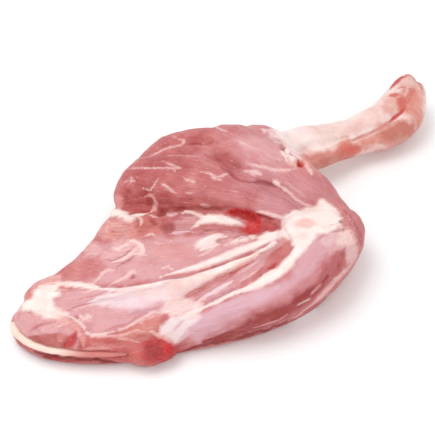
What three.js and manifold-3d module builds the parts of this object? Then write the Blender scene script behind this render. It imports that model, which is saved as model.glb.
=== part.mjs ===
// A raw goat shoulder, bone in, lying with its inner face up: the broad blade end at the front left, the
// point of the shoulder at the right, and the folded shank reaching away to the back right.
// Millimetres, +Z up. The part rests on the plane z = 0 and its origin is the bottom centre of its box.
import * as THREE from "three";
import { mergeVertices } from "three/addons/utils/BufferGeometryUtils.js";
import Module from "manifold-3d";

const wasm = await Module();
wasm.setup();

// ---- Driving dimensions ----
const BLADE_LENGTH = 218; // from the blade's upper edge to the point of the shoulder
const BLADE_END_HEIGHT = 20; // thickness of the meat at the blade's upper edge
const JOINT_END_HEIGHT = 38; // and beside the shoulder joint
const MOUND_HEIGHT = 57; // highest point, over the arm muscles
const SHANK_NECK = 23; // thickness of the shank at its thinnest
const BLADE_PLATE = 4; // thickness of the shoulder blade's gristly edge
const BLADE_LEVEL = 12; // height of that plate's middle at the cut end
const PLATE_GAP = 0.3; // clearance between the plate and the meat around it
const FLOOR_DEPTH = 40; // of the block that trims the underside flat

// Fineness of the meshes, as segments around and rings along a form.
const SLAB_MESH = [90, 22];
const BELLY_MESH = [22, 16];

// ---- Small tools ----
const smooth = (t) => t * t * (3 - 2 * t);

// The value at share t of a list of values spread evenly from 0 to 1.
function between(values, t) {
  const place = Math.min(Math.max(t, 0), 1) * (values.length - 1);
  const low = Math.min(Math.floor(place), values.length - 2);
  return THREE.MathUtils.lerp(values[low], values[low + 1], smooth(place - low));
}

// Low waves in the surface, so that no form is perfectly regular.
function uneven(x, y) {
  return (
    0.5 * Math.sin(0.075 * x + 0.05 * y) +
    0.4 * Math.sin(0.11 * y - 0.06 * x + 1.3) +
    0.25 * Math.sin(0.19 * x + 0.13 * y + 0.4)
  );
}

// A sphere's net of triangles with each vertex put at place(u, v): u runs around it and v from pole to pole.
function wrap([around, along], place) {
  const net = new THREE.SphereGeometry(1, around, along);
  const { position, uv } = net.attributes;
  for (let i = 0; i < position.count; i++) {
    const atPole = uv.getY(i) < 1e-6 || uv.getY(i) > 1 - 1e-6;
    const point = place(atPole ? 0 : uv.getX(i) % 1, 1 - uv.getY(i));
    position.setXYZ(i, point.x, point.y, point.z);
  }
  return net;
}

// The closed solid inside a geometry, for joining and cutting.
function solid(geometry) {
  const bare = new THREE.BufferGeometry();
  bare.setAttribute("position", geometry.attributes.position);
  if (geometry.index) bare.setIndex(geometry.index);
  const merged = mergeVertices(bare, 1e-3);
  return new wasm.Manifold(
    new wasm.Mesh({
      numProp: 3,
      vertProperties: merged.attributes.position.array,
      triVerts: new Uint32Array(merged.index.array),
    }),
  );
}

// A solid's surface as a three.js geometry.
function geometryOf(made) {
  const mesh = made.getMesh();
  const geometry = new THREE.BufferGeometry();
  geometry.setAttribute("position", new THREE.BufferAttribute(mesh.vertProperties, 3));
  geometry.setIndex(new THREE.BufferAttribute(mesh.triVerts, 1));
  geometry.computeVertexNormals();
  return geometry;
}

// A muscle belly: a closed form round a smooth axis, with its own half width and half height along it.
// blunt is 1 for a spindle's pointed ends and smaller for full, rounded ones.
function belly({ axis, width, height, blunt = 0.6, mesh = BELLY_MESH }) {
  const line = new THREE.CatmullRomCurve3(axis.map((p) => new THREE.Vector3(...p)));
  const upright = new THREE.Vector3(0, 0, 1);
  return wrap(mesh, (u, v) => {
    const along = (1 - Math.cos(Math.PI * v)) / 2;
    const girth = Math.sin(Math.PI * v) ** blunt;
    const angle = 2 * Math.PI * u;
    const point = line.getPointAt(along);
    const side = line.getTangentAt(along).cross(upright).normalize();
    const up = side.clone().cross(line.getTangentAt(along));
    point.addScaledVector(side, Math.cos(angle) * girth * between(width, along));
    point.addScaledVector(up, Math.sin(angle) * girth * between(height, along));
    point.z += uneven(point.x, point.y) * girth;
    return point;
  });
}

// ---- The broad slab of the blade ----
// Plan of its rim, from the upper left corner round the front, the point of the shoulder and the back.
const RIM = [
  [-118.5, -60.5], [-119, -70], [-123.6, -81], [-119, -92.5], [-107, -101.5], [-88, -106.5], [-56, -107],
  [-26, -100], [8, -91.5], [36, -80], [60, -64], [78, -41], [90, -18], [89, 2], [74, 28], [52, 55],
  [28, 70], [-14, 70], [-46, 54], [-66, 24], [-75, 2], [-87, -24], [-98, -42.5], [-107.5, -55],
];
const rim = new THREE.CatmullRomCurve3(
  RIM.map(([x, y]) => new THREE.Vector3(x, y, 0)),
  true,
);
const SLAB_CENTRE = new THREE.Vector3(-8, -18, 0);
const RIM_ROLL = 12; // how far in from the rim the top is level again
const RIM_LEVEL = 6; // height of the widest line of the rim
const BLADE_END = Math.min(...RIM.map(([x]) => x)); // where the blade's upper edge stands out farthest
const SOLE_ROLL = 7; // how far in from the rim the underside is flat

function slabTop(x, y) {
  const share = THREE.MathUtils.clamp((x - BLADE_END) / BLADE_LENGTH, 0, 1);
  return THREE.MathUtils.lerp(BLADE_END_HEIGHT, JOINT_END_HEIGHT, share) + uneven(x, y);
}

function slab() {
  return wrap(SLAB_MESH, (u, v) => {
    const edge = rim.getPointAt(u);
    const reach = edge.distanceTo(SLAB_CENTRE);
    const upper = v < 0.5;
    const fromRim = upper ? 1 - 2 * v : 2 * v - 1; // 0 at the rim, 1 at the centre
    const roll = upper ? RIM_ROLL : SOLE_ROLL;
    const turn = Math.min(fromRim * 2, 1) * (Math.PI / 2);
    const inward = Math.max(fromRim * 2 - 1, 0);
    const out = (reach - roll * (1 - Math.cos(turn))) * (1 - inward);
    const point = SLAB_CENTRE.clone().lerp(edge, out / reach);
    const level = upper ? slabTop(point.x, point.y) : 0;
    point.z = THREE.MathUtils.lerp(RIM_LEVEL, level, Math.sin(turn));
    return point;
  });
}

// ---- The muscles and other forms on it, each fused to the slab ----
// The long muscle in front of the blade's ridge, rolled over the front edge up to the point of the shoulder.
const frontMuscle = () =>
  belly({
    axis: [[-34, -93, 12], [2, -79, 19], [32, -66, 23], [61, -45, 25], [81, -18, 24], [85, 6, 20]],
    width: [10, 16, 21, 21, 17, 12],
    height: [10, 16, 20, 21, 19, 13],
    mesh: [26, 22],
  });

// The mound of the arm muscles: one large belly that runs from the back down to the point of the shoulder, a
// broader one in front of it that narrows towards the joint, the mass behind both, the swelling at the elbow.
const backMound = () =>
  belly({
    axis: [[-28, 60, 20], [10, 50, 26], [35, 31, 28], [60, 10, 27], [85, -12, 22]],
    width: [20, 29, 25, 19, 12],
    height: [18, MOUND_HEIGHT - 27, 27, 24, 15],
    mesh: [28, 22],
  });
const frontMound = () =>
  belly({
    axis: [[-66, 12, 20], [-43, 26, 24], [-14, 20, 26], [18, 4, 28], [44, -8, 30], [62, -14, 28]],
    width: [19, 30, 29, 21, 14, 9],
    height: [18, 25, 26, 19, 13, 9],
    mesh: [28, 22],
  });
const rearMound = () =>
  belly({
    axis: [[-59, 34, 20], [-32, 44, 24], [4, 48, 26], [30, 40, 26]],
    width: [17, 24, 22, 16],
    height: [18, 27, 29, 22],
    mesh: [22, 16],
  });
const elbow = () =>
  belly({
    axis: [[2, 44, 26], [30, 54, 28], [54, 63, 25]],
    width: [20, 24, 15],
    height: [20, 24, 17],
    mesh: [20, 14],
  });

// The joint under its cap of fat and tendon.
const jointCap = () =>
  belly({
    axis: [[36, -34, 26], [56, -26, 30], [78, -14, 28]],
    width: [13, 17, 15],
    height: [12, 14, 14],
  });

// The flat inner muscle of the blade in two shallow bellies that narrow towards the joint.
const upperFan = () =>
  belly({
    axis: [[-102, -58, 14], [-78, -46, 19], [-40, -38, 22], [0, -32, 26], [32, -30, 28]],
    width: [10, 18, 25, 21, 9],
    height: [7, 9, 10, 10, 8],
    mesh: [20, 14],
  });
const lowerFan = () =>
  belly({
    axis: [[-106, -76, 13], [-74, -84, 17], [-42, -81, 21], [-12, -69, 25], [18, -53, 29], [42, -41, 31]],
    width: [10, 15, 13, 9, 7, 5],
    height: [8, 11, 11, 9, 8, 7],
    mesh: [18, 16],
  });
const redStrip = () =>
  belly({
    axis: [[-8, -70, 24], [18, -59, 29], [46, -44, 32]],
    width: [4, 7, 6],
    height: [6, 7, 7],
    mesh: [16, 12],
  });

// The soft lobes along the blade end's edge.
const leftLobe = () =>
  belly({ axis: [[-74, -20, 14], [-64, -12, 18], [-46, -14, 20]], width: [7, 10, 8], height: [9, 13, 10] });
const frontLobe = () =>
  belly({
    axis: [[-118, -80, 15], [-98, -91, 16], [-74, -96, 15]],
    width: [7, 10, 7],
    height: [6, 9, 8],
  });
const redBand = () =>
  belly({
    axis: [[-86, -96, 12], [-60, -100, 13], [-34, -100, 12]],
    width: [5, 8, 9],
    height: [5, 8, 9],
  });
const redLump = () =>
  belly({ axis: [[-60, -99, 8], [-40, -101, 10], [-24, -98, 10]], width: [8, 10.5, 8], height: [8, 10, 8] });

// ---- The shank ----
// It is a strand of bone and a strand of tendons side by side. Girths are shares of a strand's radius at
// the shank's neck.
const STRAND_RADIUS = 0.4 * SHANK_NECK;
const strand = (girths) => girths.map((girth) => girth * STRAND_RADIUS);

const shinBone = () =>
  belly({
    axis: [
      [20, 52, 28], [54, 67, 30], [88, 87, 24], [107, 98, 23], [118, 106, 22], [129, 121, 22], [138, 139, 23],
      [145, 156, 24],
    ],
    width: strand([1.4, 1.35, 1.2, 1.03, 1, 1.2, 1.35, 1.35, 1.2]),
    height: strand([1.4, 1.4, 1.3, 1.1, 1.03, 1.25, 1.4, 1.4, 1.2]),
    blunt: 0.4,
    mesh: [20, 26],
  });
const shinTendons = () =>
  belly({
    axis: [
      [42, 52, 22], [72, 67, 21], [92, 82, 18], [110, 91, 17], [125, 99, 16], [139, 114, 18], [147, 134, 20],
      [151, 150, 22],
    ],
    width: strand([1.3, 1.2, 1, 1, 1.15, 1.3, 1.25, 1]),
    height: strand([1.3, 1.3, 1, 1, 1.2, 1.35, 1.3, 1.1]),
    blunt: 0.4,
    mesh: [20, 22],
  });

// ---- What is cut away ----
// The hollow under the mound's lower edge, where the leg was joined to the chest.
const hollow = () =>
  belly({
    axis: [[4, -11, 39], [22, -18, 36], [38, -25, 39]],
    width: [5, 8, 5],
    height: [6, 9, 6],
    mesh: [16, 12],
  });

const floorBlock = () =>
  new THREE.BoxGeometry(3 * BLADE_LENGTH, 3 * BLADE_LENGTH, FLOOR_DEPTH).translate(0, 0, -FLOOR_DEPTH / 2);

// ---- The shoulder blade's plate, whose gristly upper edge shows at the cut end ----
// Its plan follows the slab's rim along the cut end and narrows to the blade's neck beside the joint.
const BLADE_CUT = [0.042, 0.182]; // the stretch of the rim that it follows
const BLADE_CUT_STEPS = 18;
const BLADE_PROUD = 0.8; // how far its edge stands out there
const BLADE_NECK = [[-34, -92], [-8, -74], [24, -50], [30, -40], [20, -33], [-36, -42], [-92, -52]];

// The plan of the plate, made wider all round by a clearance.
function bladePlan(clearance) {
  const plan = [];
  for (let i = 0; i <= BLADE_CUT_STEPS; i++) {
    const u = THREE.MathUtils.lerp(...BLADE_CUT, i / BLADE_CUT_STEPS);
    const [on, ahead] = [rim.getPointAt(u), rim.getTangentAt(u)];
    plan.push(new THREE.Vector2(on.x + ahead.y * BLADE_PROUD, on.y - ahead.x * BLADE_PROUD));
  }
  for (const [x, y] of BLADE_NECK) plan.push(new THREE.Vector2(x, y));
  return plan.map((p, i) => {
    const before = plan[(i + plan.length - 1) % plan.length];
    const run = plan[(i + 1) % plan.length].clone().sub(before).normalize();
    return new THREE.Vector2(p.x + run.y * clearance, p.y - run.x * clearance);
  });
}
function bladePlate(clearance) {
  const depth = BLADE_PLATE + 2 * clearance;
  const plan = new THREE.Shape(bladePlan(clearance));
  const plate = new THREE.ExtrudeGeometry(plan, { depth, bevelEnabled: false });
  return plate.translate(0, 0, BLADE_LEVEL - depth / 2);
}

// ---- Assembly ----
function meat() {
  const forms = [
    slab, frontMuscle, backMound, frontMound, rearMound, elbow, jointCap, upperFan, lowerFan, redStrip,
    leftLobe, frontLobe, redBand, redLump, shinBone, shinTendons,
  ];
  const fused = forms.map((form) => solid(form())).reduce((a, b) => a.add(b));
  return fused
    .subtract(solid(hollow()))
    .subtract(solid(floorBlock()))
    .subtract(solid(bladePlate(PLATE_GAP)));
}

const rawMeat = new THREE.MeshStandardMaterial({ color: 0xd08484, roughness: 0.4, metalness: 0 });
const gristle = new THREE.MeshStandardMaterial({ color: 0xf3e6d6, roughness: 0.45, metalness: 0 });

const shoulderMeat = new THREE.Mesh(geometryOf(meat()), rawMeat);
shoulderMeat.name = "shoulder_meat";

const shoulderBlade = new THREE.Mesh(bladePlate(0), gristle);
shoulderBlade.name = "shoulder_blade";

const shoulder = new THREE.Group();
shoulder.add(shoulderMeat, shoulderBlade);

// Move the whole so that the origin is the bottom centre of its box.
const box = new THREE.Box3().setFromObject(shoulder);
const centre = box.getCenter(new THREE.Vector3());
shoulder.position.set(-centre.x, -centre.y, -box.min.z);

const part = new THREE.Group();
part.add(shoulder);
export default part;
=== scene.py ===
"""Dresses the raw goat shoulder: its meat with silverskin, fat and blood, its blade edge, a pale stage."""

import math

import bmesh
import bpy
import numpy as np
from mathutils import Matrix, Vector
from mathutils.bvhtree import BVHTree


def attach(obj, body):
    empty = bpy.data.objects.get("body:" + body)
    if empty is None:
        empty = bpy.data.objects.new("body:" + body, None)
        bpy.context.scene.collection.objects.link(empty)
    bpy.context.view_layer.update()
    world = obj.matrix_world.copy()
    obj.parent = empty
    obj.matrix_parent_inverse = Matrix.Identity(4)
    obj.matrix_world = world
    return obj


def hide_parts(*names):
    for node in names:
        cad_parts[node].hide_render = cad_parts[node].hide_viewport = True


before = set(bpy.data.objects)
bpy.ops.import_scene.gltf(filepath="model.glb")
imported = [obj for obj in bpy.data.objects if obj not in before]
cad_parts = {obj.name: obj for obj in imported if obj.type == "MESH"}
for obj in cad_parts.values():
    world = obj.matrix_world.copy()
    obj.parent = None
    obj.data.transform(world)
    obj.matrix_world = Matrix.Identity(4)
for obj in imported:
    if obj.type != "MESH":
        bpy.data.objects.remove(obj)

bl_info = {
    "name": "Raw goat shoulder",
    "version": (1, 0, 0),
    "blender": (4, 5, 0),
    "location": "3D View > Sidebar > Goat shoulder",
    "description": "A raw goat shoulder with its muscles, silverskin, fat and shank on a pale floor",
    "category": "Object",
}

MM = 0.001

# The camera, in metres and degrees, and the picture it makes, in pixels.
PICTURE = (435, 440)
CAMERA_LENS = 85.0
CAMERA_SENSOR = 36.0
CAMERA_RISE = math.radians(42)
CAMERA_DISTANCE = 0.675
CAMERA_TARGET = (-0.01622, -0.02285, 0.020)
FOCAL = CAMERA_LENS / CAMERA_SENSOR * max(PICTURE)
FORWARD = np.array((0, math.cos(CAMERA_RISE), -math.sin(CAMERA_RISE)))
UPWARD = np.array((0, math.sin(CAMERA_RISE), math.cos(CAMERA_RISE)))
CAMERA_PLACE = np.array(CAMERA_TARGET) - FORWARD * CAMERA_DISTANCE

# The fan's fibres leave a centre, and the others follow lines. All in millimetres.
FAN_CENTRE = (66, -42)
FAN_SPREAD = 90  # turns an angle round the centre into a width
FRONT_LINE = (
    (-66, -118, 10), (-50, -116, 12), (-14, -102, 17), (16, -89, 20),
    (45, -68, 22), (65, -41, 22), (69, -17, 18), (60, 6, 16),
)
FRONT_FADE = (17, 27)  # from how far off its line the front muscle's fibres give way to the fan's
SHANK_LINE = (
    (4, 29, 28), (38, 44, 28), (72, 64, 24), (91, 75, 23),
    (102, 83, 22), (113, 98, 22), (122, 116, 23), (129, 134, 24),
)
SHANK_START = (33, 43)  # how far along its line the shank comes out of the meat
SHANK_BARE = 38  # from here on the shank's skin reaches further from its line
SHANK_REACH = 15
SHANK_WIDENS = 0.5
SHANK_EDGE = (-1.5, 1.5)
SHANK_END = (150, 182)  # how far along its line the shank turns pink
LINE_STEP = 1.5

BLADE_BURIED = (-113, -88)  # in mm, where the blade's edge turns pink on its way into the meat
BLADE_GRAIN = 1.2 * MM
BLADE_SOFTENING = 4
BLADE_RELIEF = (0.2, 0.12)

SEARCH_RINGS = 10  # how many pixels around a picture point the surface is looked for
SEARCH_TURNS = 16

# How marks, patches and areas end: from full to none over these shares of their width or radius.
MARK_EDGE = (0.4, 1.4)
MARK_TAPER = 0.18
MARK_THINNEST = 0.25
MARK_REACH = 2.5
PATCH_EDGE = (0.5, 1.25)
PATCH_RAGGED = 0.3
AREA_RAGGED = 0.2  # for each pixel of an area's softness

# Noises: how wide their lumps are in mm, and their seeds.
TONE_WIDE, TONE_FINE = (24, 1), (9, 2)
VEIL_WIDE, VEIL_FINE = (17, 3), (7, 4)
FAT_WIDE, FAT_FINE = (12, 5), (4, 6)
FAN_FIBRES, FRONT_FIBRES = (2.6, 11), (2.6, 12)
LUMPS_WIDE, LUMPS_FINE = (11, 13), (5, 14)
NOTCHES = (4, 15)
FATTY_WIDE, FATTY_FINE = (3.4, 17), (1.9, 18)
CRINKLES_FINE, CRINKLES_WIDE = (2.6, 19), (5.2, 20)
BLADE_WIDE, BLADE_FINE = (6, 21), (2.5, 22)
RAGGED_WIDE, RAGGED_FINE = (6, 31), (2.4, 32)

# The relief's reach in mm: the flat underside keeps still, and the ragged foot lies between the two others.
STILL_BELOW = (1.5, 5)
FOOT_FROM = (0.5, 3)
FOOT_TO = (7, 13)
FIBRE_STRETCH = (9, 1, 1)

# Patterns in the materials: streaks are a length and a width in mm, and noises are lumps per metre.
COARSE_FIBRE = (34.0, 3.2)
FINE_FIBRE = (16.0, 0.75)
FAT_STREAK = (9.0, 1.4)
FLECK = (5.0, 0.7, 2.0)
GRISTLE_STREAK = (14.0, 1.6)
MOTTLE = 90.0
SPECK = 420.0
FLUSH = 70.0
MEAT_GLOW = (1.0, 0.32, 0.24)  # how far red, green and blue light spread below the surface
GRISTLE_GLOW = (1.0, 0.5, 0.35)

# The stage, in metres.
KEY_PLACE, KEY_WIDTH = (-0.35, -0.05, 1.0), 0.7
FILL_PLACE, FILL_WIDTH = (0.3, -0.95, 0.7), 0.8
FLOOR_HALF = 4
FLOOR_DROP = 0.1 * MM
CAMERA_CLIP = (0.01, 20)

TISSUES = ("tone", "silver", "film", "fat", "warm", "blood", "dark")
SHANK_TISSUES = dict(tone=0.7, silver=0.1, fat=0.96, warm=0.2, film=0, blood=0, dark=0)


def mark(name, half, height, path, rough=0.4, **tissues):
    """A stroke along a path of picture points: half its width and its height in mm, and what it turns to.
    A third number at a point is the share of that width there. Rough is how much the width varies.
    """
    return dict(name=name, half=half, height=height, path=path, rough=rough, tissues=tissues)


def patch(name, centre, radii, turn, height, **tissues):
    """An oval about a picture point, its radii in pixels, turned anticlockwise by degrees."""
    return dict(name=name, centre=centre, radii=radii, turn=turn, height=height, tissues=tissues)


def area(name, outline, soft, height, **tissues):
    """A region with an outline of picture points and an edge soft over so many pixels."""
    return dict(name=name, outline=outline, soft=soft, height=height, tissues=tissues)


AREAS = (
    area("mound, right", ((236, 124), (276, 124), (300, 160), (352, 205), (320, 204), (270, 205), (240, 190)),
        30, 0, tone=0.6, silver=0.18),
    area("mound, left", ((116, 205), (130, 165), (165, 136), (195, 150), (190, 190), (170, 212)), 26, 0,
        tone=0.32),
    area("mound, low", ((190, 190), (220, 188), (262, 190), (276, 214), (240, 208), (200, 200)), 16, 0,
        tone=0.42, silver=0.06),
    area("mound, low right", ((262, 190), (300, 197), (316, 207), (296, 212), (276, 217), (258, 210)), 12, 0,
        tone=0.56, silver=0.3),
    # Painted shade along the mound's foot: a darker band.
    area("mound, foot", ((166, 199), (205, 197), (232, 205), (228, 213), (196, 211), (164, 210)), 7, -0.6,
        tone=0.2, warm=0.1),
    area("upper fan", ((76, 262), (96, 244), (140, 240), (180, 236), (236, 232), (262, 244), (200, 268),
        (150, 281), (92, 284), (60, 278)), 9, 0, tone=0.92, silver=0.2),
    area("upper fan, left", ((56, 279), (74, 262), (98, 254), (104, 266), (94, 280)), 8, 0, tone=0.56,
        warm=0.1, silver=0.0),
    area("lower fan", ((54, 290), (91, 290), (150, 290), (190, 292), (170, 312), (128, 328), (92, 336),
        (74, 320), (56, 308)), 6, 0, tone=0.94, silver=0.24),
    # Silverskin and fat on the fan, with a painted sheen where it faces up.
    area("fan sheen", ((92, 302), (112, 293), (150, 288), (178, 288), (172, 299), (150, 306), (134, 311),
        (112, 308)), 8, 0.2, silver=0.9, fat=0.5),
    area("white sheet", ((112, 290), (150, 287), (205, 275), (216, 278), (196, 288), (176, 296), (158, 298),
        (130, 297)), 6, 0.3, fat=0.7, silver=0.45, warm=0.2),
    area("pink between the bands", ((180, 302), (196, 288), (226, 274), (256, 256), (270, 246), (286, 241),
        (266, 264), (250, 282), (226, 294), (200, 307)), 5, -0.3, tone=0.66, silver=0.2, fat=0.0, film=0.15),
    area("left lobe", ((9, 321), (14, 313), (34, 313), (46, 318), (64, 320), (80, 334), (78, 349), (44, 348),
        (22, 338)), 5, 1.0, tone=0.98, silver=0.16, warm=0.05, fat=0.0),
    area("lobe, low", ((28, 336), (44, 333), (62, 334), (70, 338), (66, 349), (45, 348), (33, 343)), 5, 0,
        tone=0.24, warm=0.14, silver=0.0),
    area("red band", ((80, 337), (100, 337), (132, 340), (152, 342), (150, 364), (118, 361), (96, 357),
        (78, 350)), 6, 0.8, tone=0.3, warm=0.14, blood=0.2, fat=0.0),
    area("front muscle", ((186, 340), (226, 316), (262, 300), (300, 280), (305, 248), (345, 245), (350, 262),
        (330, 292), (290, 324), (230, 340)), 8, 0, tone=0.32, silver=0.08, fat=0.0, film=0.0),
    # Silverskin on the front muscle, with a painted sheen: the reflection of the bright room on its upper
    # face.
    area("front sheen", ((186, 336), (198, 322), (222, 307), (262, 291), (288, 276), (302, 256), (318, 258),
        (306, 284), (266, 312), (230, 327), (198, 343)), 18, 0, silver=0.62, tone=0.8),
    # Painted shade: the two hollows are darker than the muscle round them.
    area("hollow", ((122, 196), (133, 196), (150, 197), (154, 206), (147, 214), (133, 214), (124, 207)), 12,
        -1.2, tone=0.12, blood=0.08, warm=0.1),
    area("second hollow", ((156, 202), (163, 201), (172, 205), (168, 214), (159, 217)), 6, -1.6, tone=0.08,
        dark=0.08),
    area("grey tissue", ((174, 223), (182, 215), (192, 215), (202, 219), (194, 226), (190, 231), (176, 234)),
        5, -0.5, tone=0.6, silver=0.12, film=0.3, dark=0.05),
    area("joint cap", ((282, 220), (292, 212), (305, 208), (317, 206), (320, 199), (328, 203), (336, 209),
        (341, 218), (340, 226), (332, 231), (322, 234), (312, 242), (304, 251), (297, 259), (291, 257),
        (295, 248), (291, 240), (284, 237), (270, 241), (262, 243), (258, 238), (268, 232), (282, 230)), 5,
        0.5, fat=1.0, film=0.0, silver=0.0),
    area("cream below the cap", ((334, 233), (349, 230), (353, 238), (352, 246), (343, 247), (335, 241)), 9,
        0.3, fat=0.6, warm=0.24, film=0.6),
    area("gristle flat", ((22, 303), (30, 299), (35, 291), (42, 286), (56, 286), (60, 293), (53, 300),
        (54, 306), (60, 311), (68, 315), (67, 321), (50, 319), (40, 317), (30, 311), (19, 311)), 6, 0.3,
        fat=1.0, warm=0.05, film=0.0, silver=0.0),
    area("rim above the band", ((28, 286), (48, 277), (62, 274), (60, 283), (44, 287), (34, 290)), 4, 0,
        tone=0.86, warm=0.2, film=0.3),
    area("shank root, white", ((273, 126), (286, 129), (301, 146), (310, 157), (299, 157), (290, 151),
        (285, 143), (279, 134)), 4, 0, fat=0.96, silver=0.45, film=0.0),
    area("shank root, pink", ((299, 155), (309, 155), (320, 168), (312, 175), (305, 164)), 4, 0, tone=0.5,
        warm=0.42, fat=0.1),
    area("orange tissue", ((110, 338), (124, 331), (140, 324), (150, 314), (162, 315), (160, 326), (152, 337),
        (138, 341)), 9, 0.3, tone=0.54, warm=0.46),
    area("tendon end", ((156, 342), (160, 326), (168, 317), (182, 311), (196, 312), (201, 318), (190, 328),
        (182, 339), (170, 347)), 6, 0.4, fat=0.8, silver=0.6),
    area("speckled tissue", ((160, 312), (166, 302), (178, 297), (190, 300), (204, 304), (192, 313),
        (172, 318)), 6, 0, fat=0.5, film=0.5, silver=0.2),
)

PATCHES = (
    # Painted highlight: the mound's top is paler where the light falls on it.
    patch("bright top", (264, 150), (34, 14), -14, 0, tone=0.86),
    patch("tuft", (208, 242), (16, 5.6), 20, 0.8, fat=0.62, silver=0.3, film=0.6),
    patch("cream lump a", (234, 241.5), (6, 3.2), 10, 0.7, fat=0.66, warm=0.14, film=0.3),
    patch("cream lump b", (243, 239), (6.5, 3.6), 0, 0.7, fat=0.7, warm=0.1, film=0.3),
    patch("cream lump c", (252, 237), (5, 3), 10, 0.5, fat=0.75, warm=0.1),
    patch("top of the mound", (214, 145), (24, 12), 0, 0, tone=0.58),
    # Painted shade in the fold on the mound, and beside the crease below it.
    patch("fold on the mound", (199, 140), (17, 6), -4, -0.5, tone=0.26),
    patch("dusky side", (228, 163), (16, 8), -34, -0.3, tone=0.34),
    patch("dusky left", (140, 177), (14, 8), 10, 0, tone=0.3),
    # Painted shade spreading round the hollows.
    patch("dusky above the hollow", (138, 193), (18, 9), 0, -0.6, tone=0.2, warm=0.05),
    patch("dusky right of the hollow", (163, 200), (11, 9), 0, -0.3, tone=0.2),
    patch("pink left of the hollow", (117, 202), (6, 8), 10, 0, tone=0.72, warm=0.3),
    patch("pink lump", (117, 231), (20, 12), -6, 1.4, tone=0.72, warm=0.24, film=0.25),
    patch("pink lump, red", (116, 235), (8, 6), 10, 0.3, tone=0.42, warm=0.42),
    patch("fan, warm", (174, 251), (24, 9), 0, 0, tone=0.84, warm=0.14, silver=0.08),
    patch("red lumps", (149, 226), (16, 11), 6, 0.8, tone=0.34, warm=0.4),
    patch("red lumps, deep", (153, 222), (5, 3), -30, -0.4, tone=0.08, warm=0.1),
    patch("lump between", (134, 231), (5, 9), -14, 0.7, tone=0.44, warm=0.5),
    patch("purple spot", (168, 228), (7, 5.5), 20, -1.1, tone=0.08, dark=0.14, silver=0.1),
    patch("wrinkled tissue", (128, 250), (18, 9), -6, 0.2, tone=0.86, film=0.4, warm=0.22),
    patch("wrinkled tissue, low", (112, 258), (11, 5), -20, 0.2, tone=0.8, film=0.3, warm=0.2),
    patch("pale fat at the rim", (93, 250), (9, 9), 50, 0, tone=0.86, warm=0.14, film=0.4),
    # Painted shade in the tuft's hole.
    patch("tuft hole", (219, 241), (3.2, 1.8), 24, -1.0, dark=0.36, fat=0.1, silver=0.0, film=0.0, tone=0.3,
        warm=0.3),
    patch("pink oval", (306, 223), (13, 5.5), 4, -0.4, fat=0.95, warm=0.42, silver=0.1),
    patch("cap, lilac side", (289, 222), (6, 9), 30, 0, silver=0.4, fat=0.95),
    # Painted sheen on the fan's white sinew.
    patch("fan, white sheen", (160, 292), (20, 6), 12, 0, fat=0.85, silver=0.6),
    patch("lilac below the crack", (330, 239), (11, 7), 30, 0, silver=0.55, film=0.35, fat=0.1, tone=0.9),
    patch("grey cream", (352, 251), (6, 12), -14, 0, film=0.62, fat=0.1, tone=0.7, dark=0.05, warm=0.1),
    patch("cap dot", (341, 222), (2.4, 1.9), 0, -0.7, dark=0.45, fat=0.1),
    # The front muscle's upper face: silverskin and paler muscle, partly a painted sheen.
    patch("front muscle, top", (311, 256), (14, 19), -36, 0, tone=0.86, silver=0.5),
    patch("front muscle, dusk", (341, 262), (5, 10), -10, 0, tone=0.2, silver=0.0),
    patch("front muscle, pale end", (334, 247), (12, 7), 30, 0, tone=0.9, silver=0.3, film=0.25),
    patch("white wrinkles", (85, 318), (9, 4.5), -8, 0.2, film=0.4, silver=0.3),
    patch("red nub", (27, 294), (6, 6), 30, 0.8, tone=0.3, warm=0.6, fat=0.0, blood=0.1, film=0.1),
    patch("red nub, core", (29, 294), (2.4, 2.4), 0, -0.3, tone=0.1, warm=0.5, dark=0.1),
    patch("red lump", (160, 351), (19, 15), 0, 1.0, tone=0.0, warm=0.0, blood=0.42, fat=0.0, silver=0.0),
    patch("red lump, left core", (154, 351), (8, 8), 0, -0.5, tone=0.0, blood=0.6, dark=0.4, silver=0.12),
    patch("red lump, right core", (168, 349), (6, 5), -30, -0.2, tone=0.0, blood=0.95, dark=0.12),
    patch("red lump, top core", (160, 344), (7, 3.4), -20, -0.5, tone=0.0, blood=0.5, dark=0.06),
    patch("collar lump a", (286, 152), (5, 4), 46, 0.5, fat=0.88, warm=0.06),
    patch("collar lump b", (292, 160), (5, 5), 40, 0.6, fat=0.9, warm=0.1),
    # Blood in the collar's hole, with painted shade in its depth.
    patch("collar hole", (301, 163), (3.6, 3.4), 0, -1.8, blood=0.9, dark=0.3, fat=0.0),
    patch("blood, granular", (252, 228), (12, 7), 4, -0.5, blood=0.84, fat=0.0),
    patch("brown end", (269, 226), (10, 7), -8, -0.5, tone=0.2, warm=0.1, blood=0.4, fat=0.0, silver=0.1,
        film=0.0),
)

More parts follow.
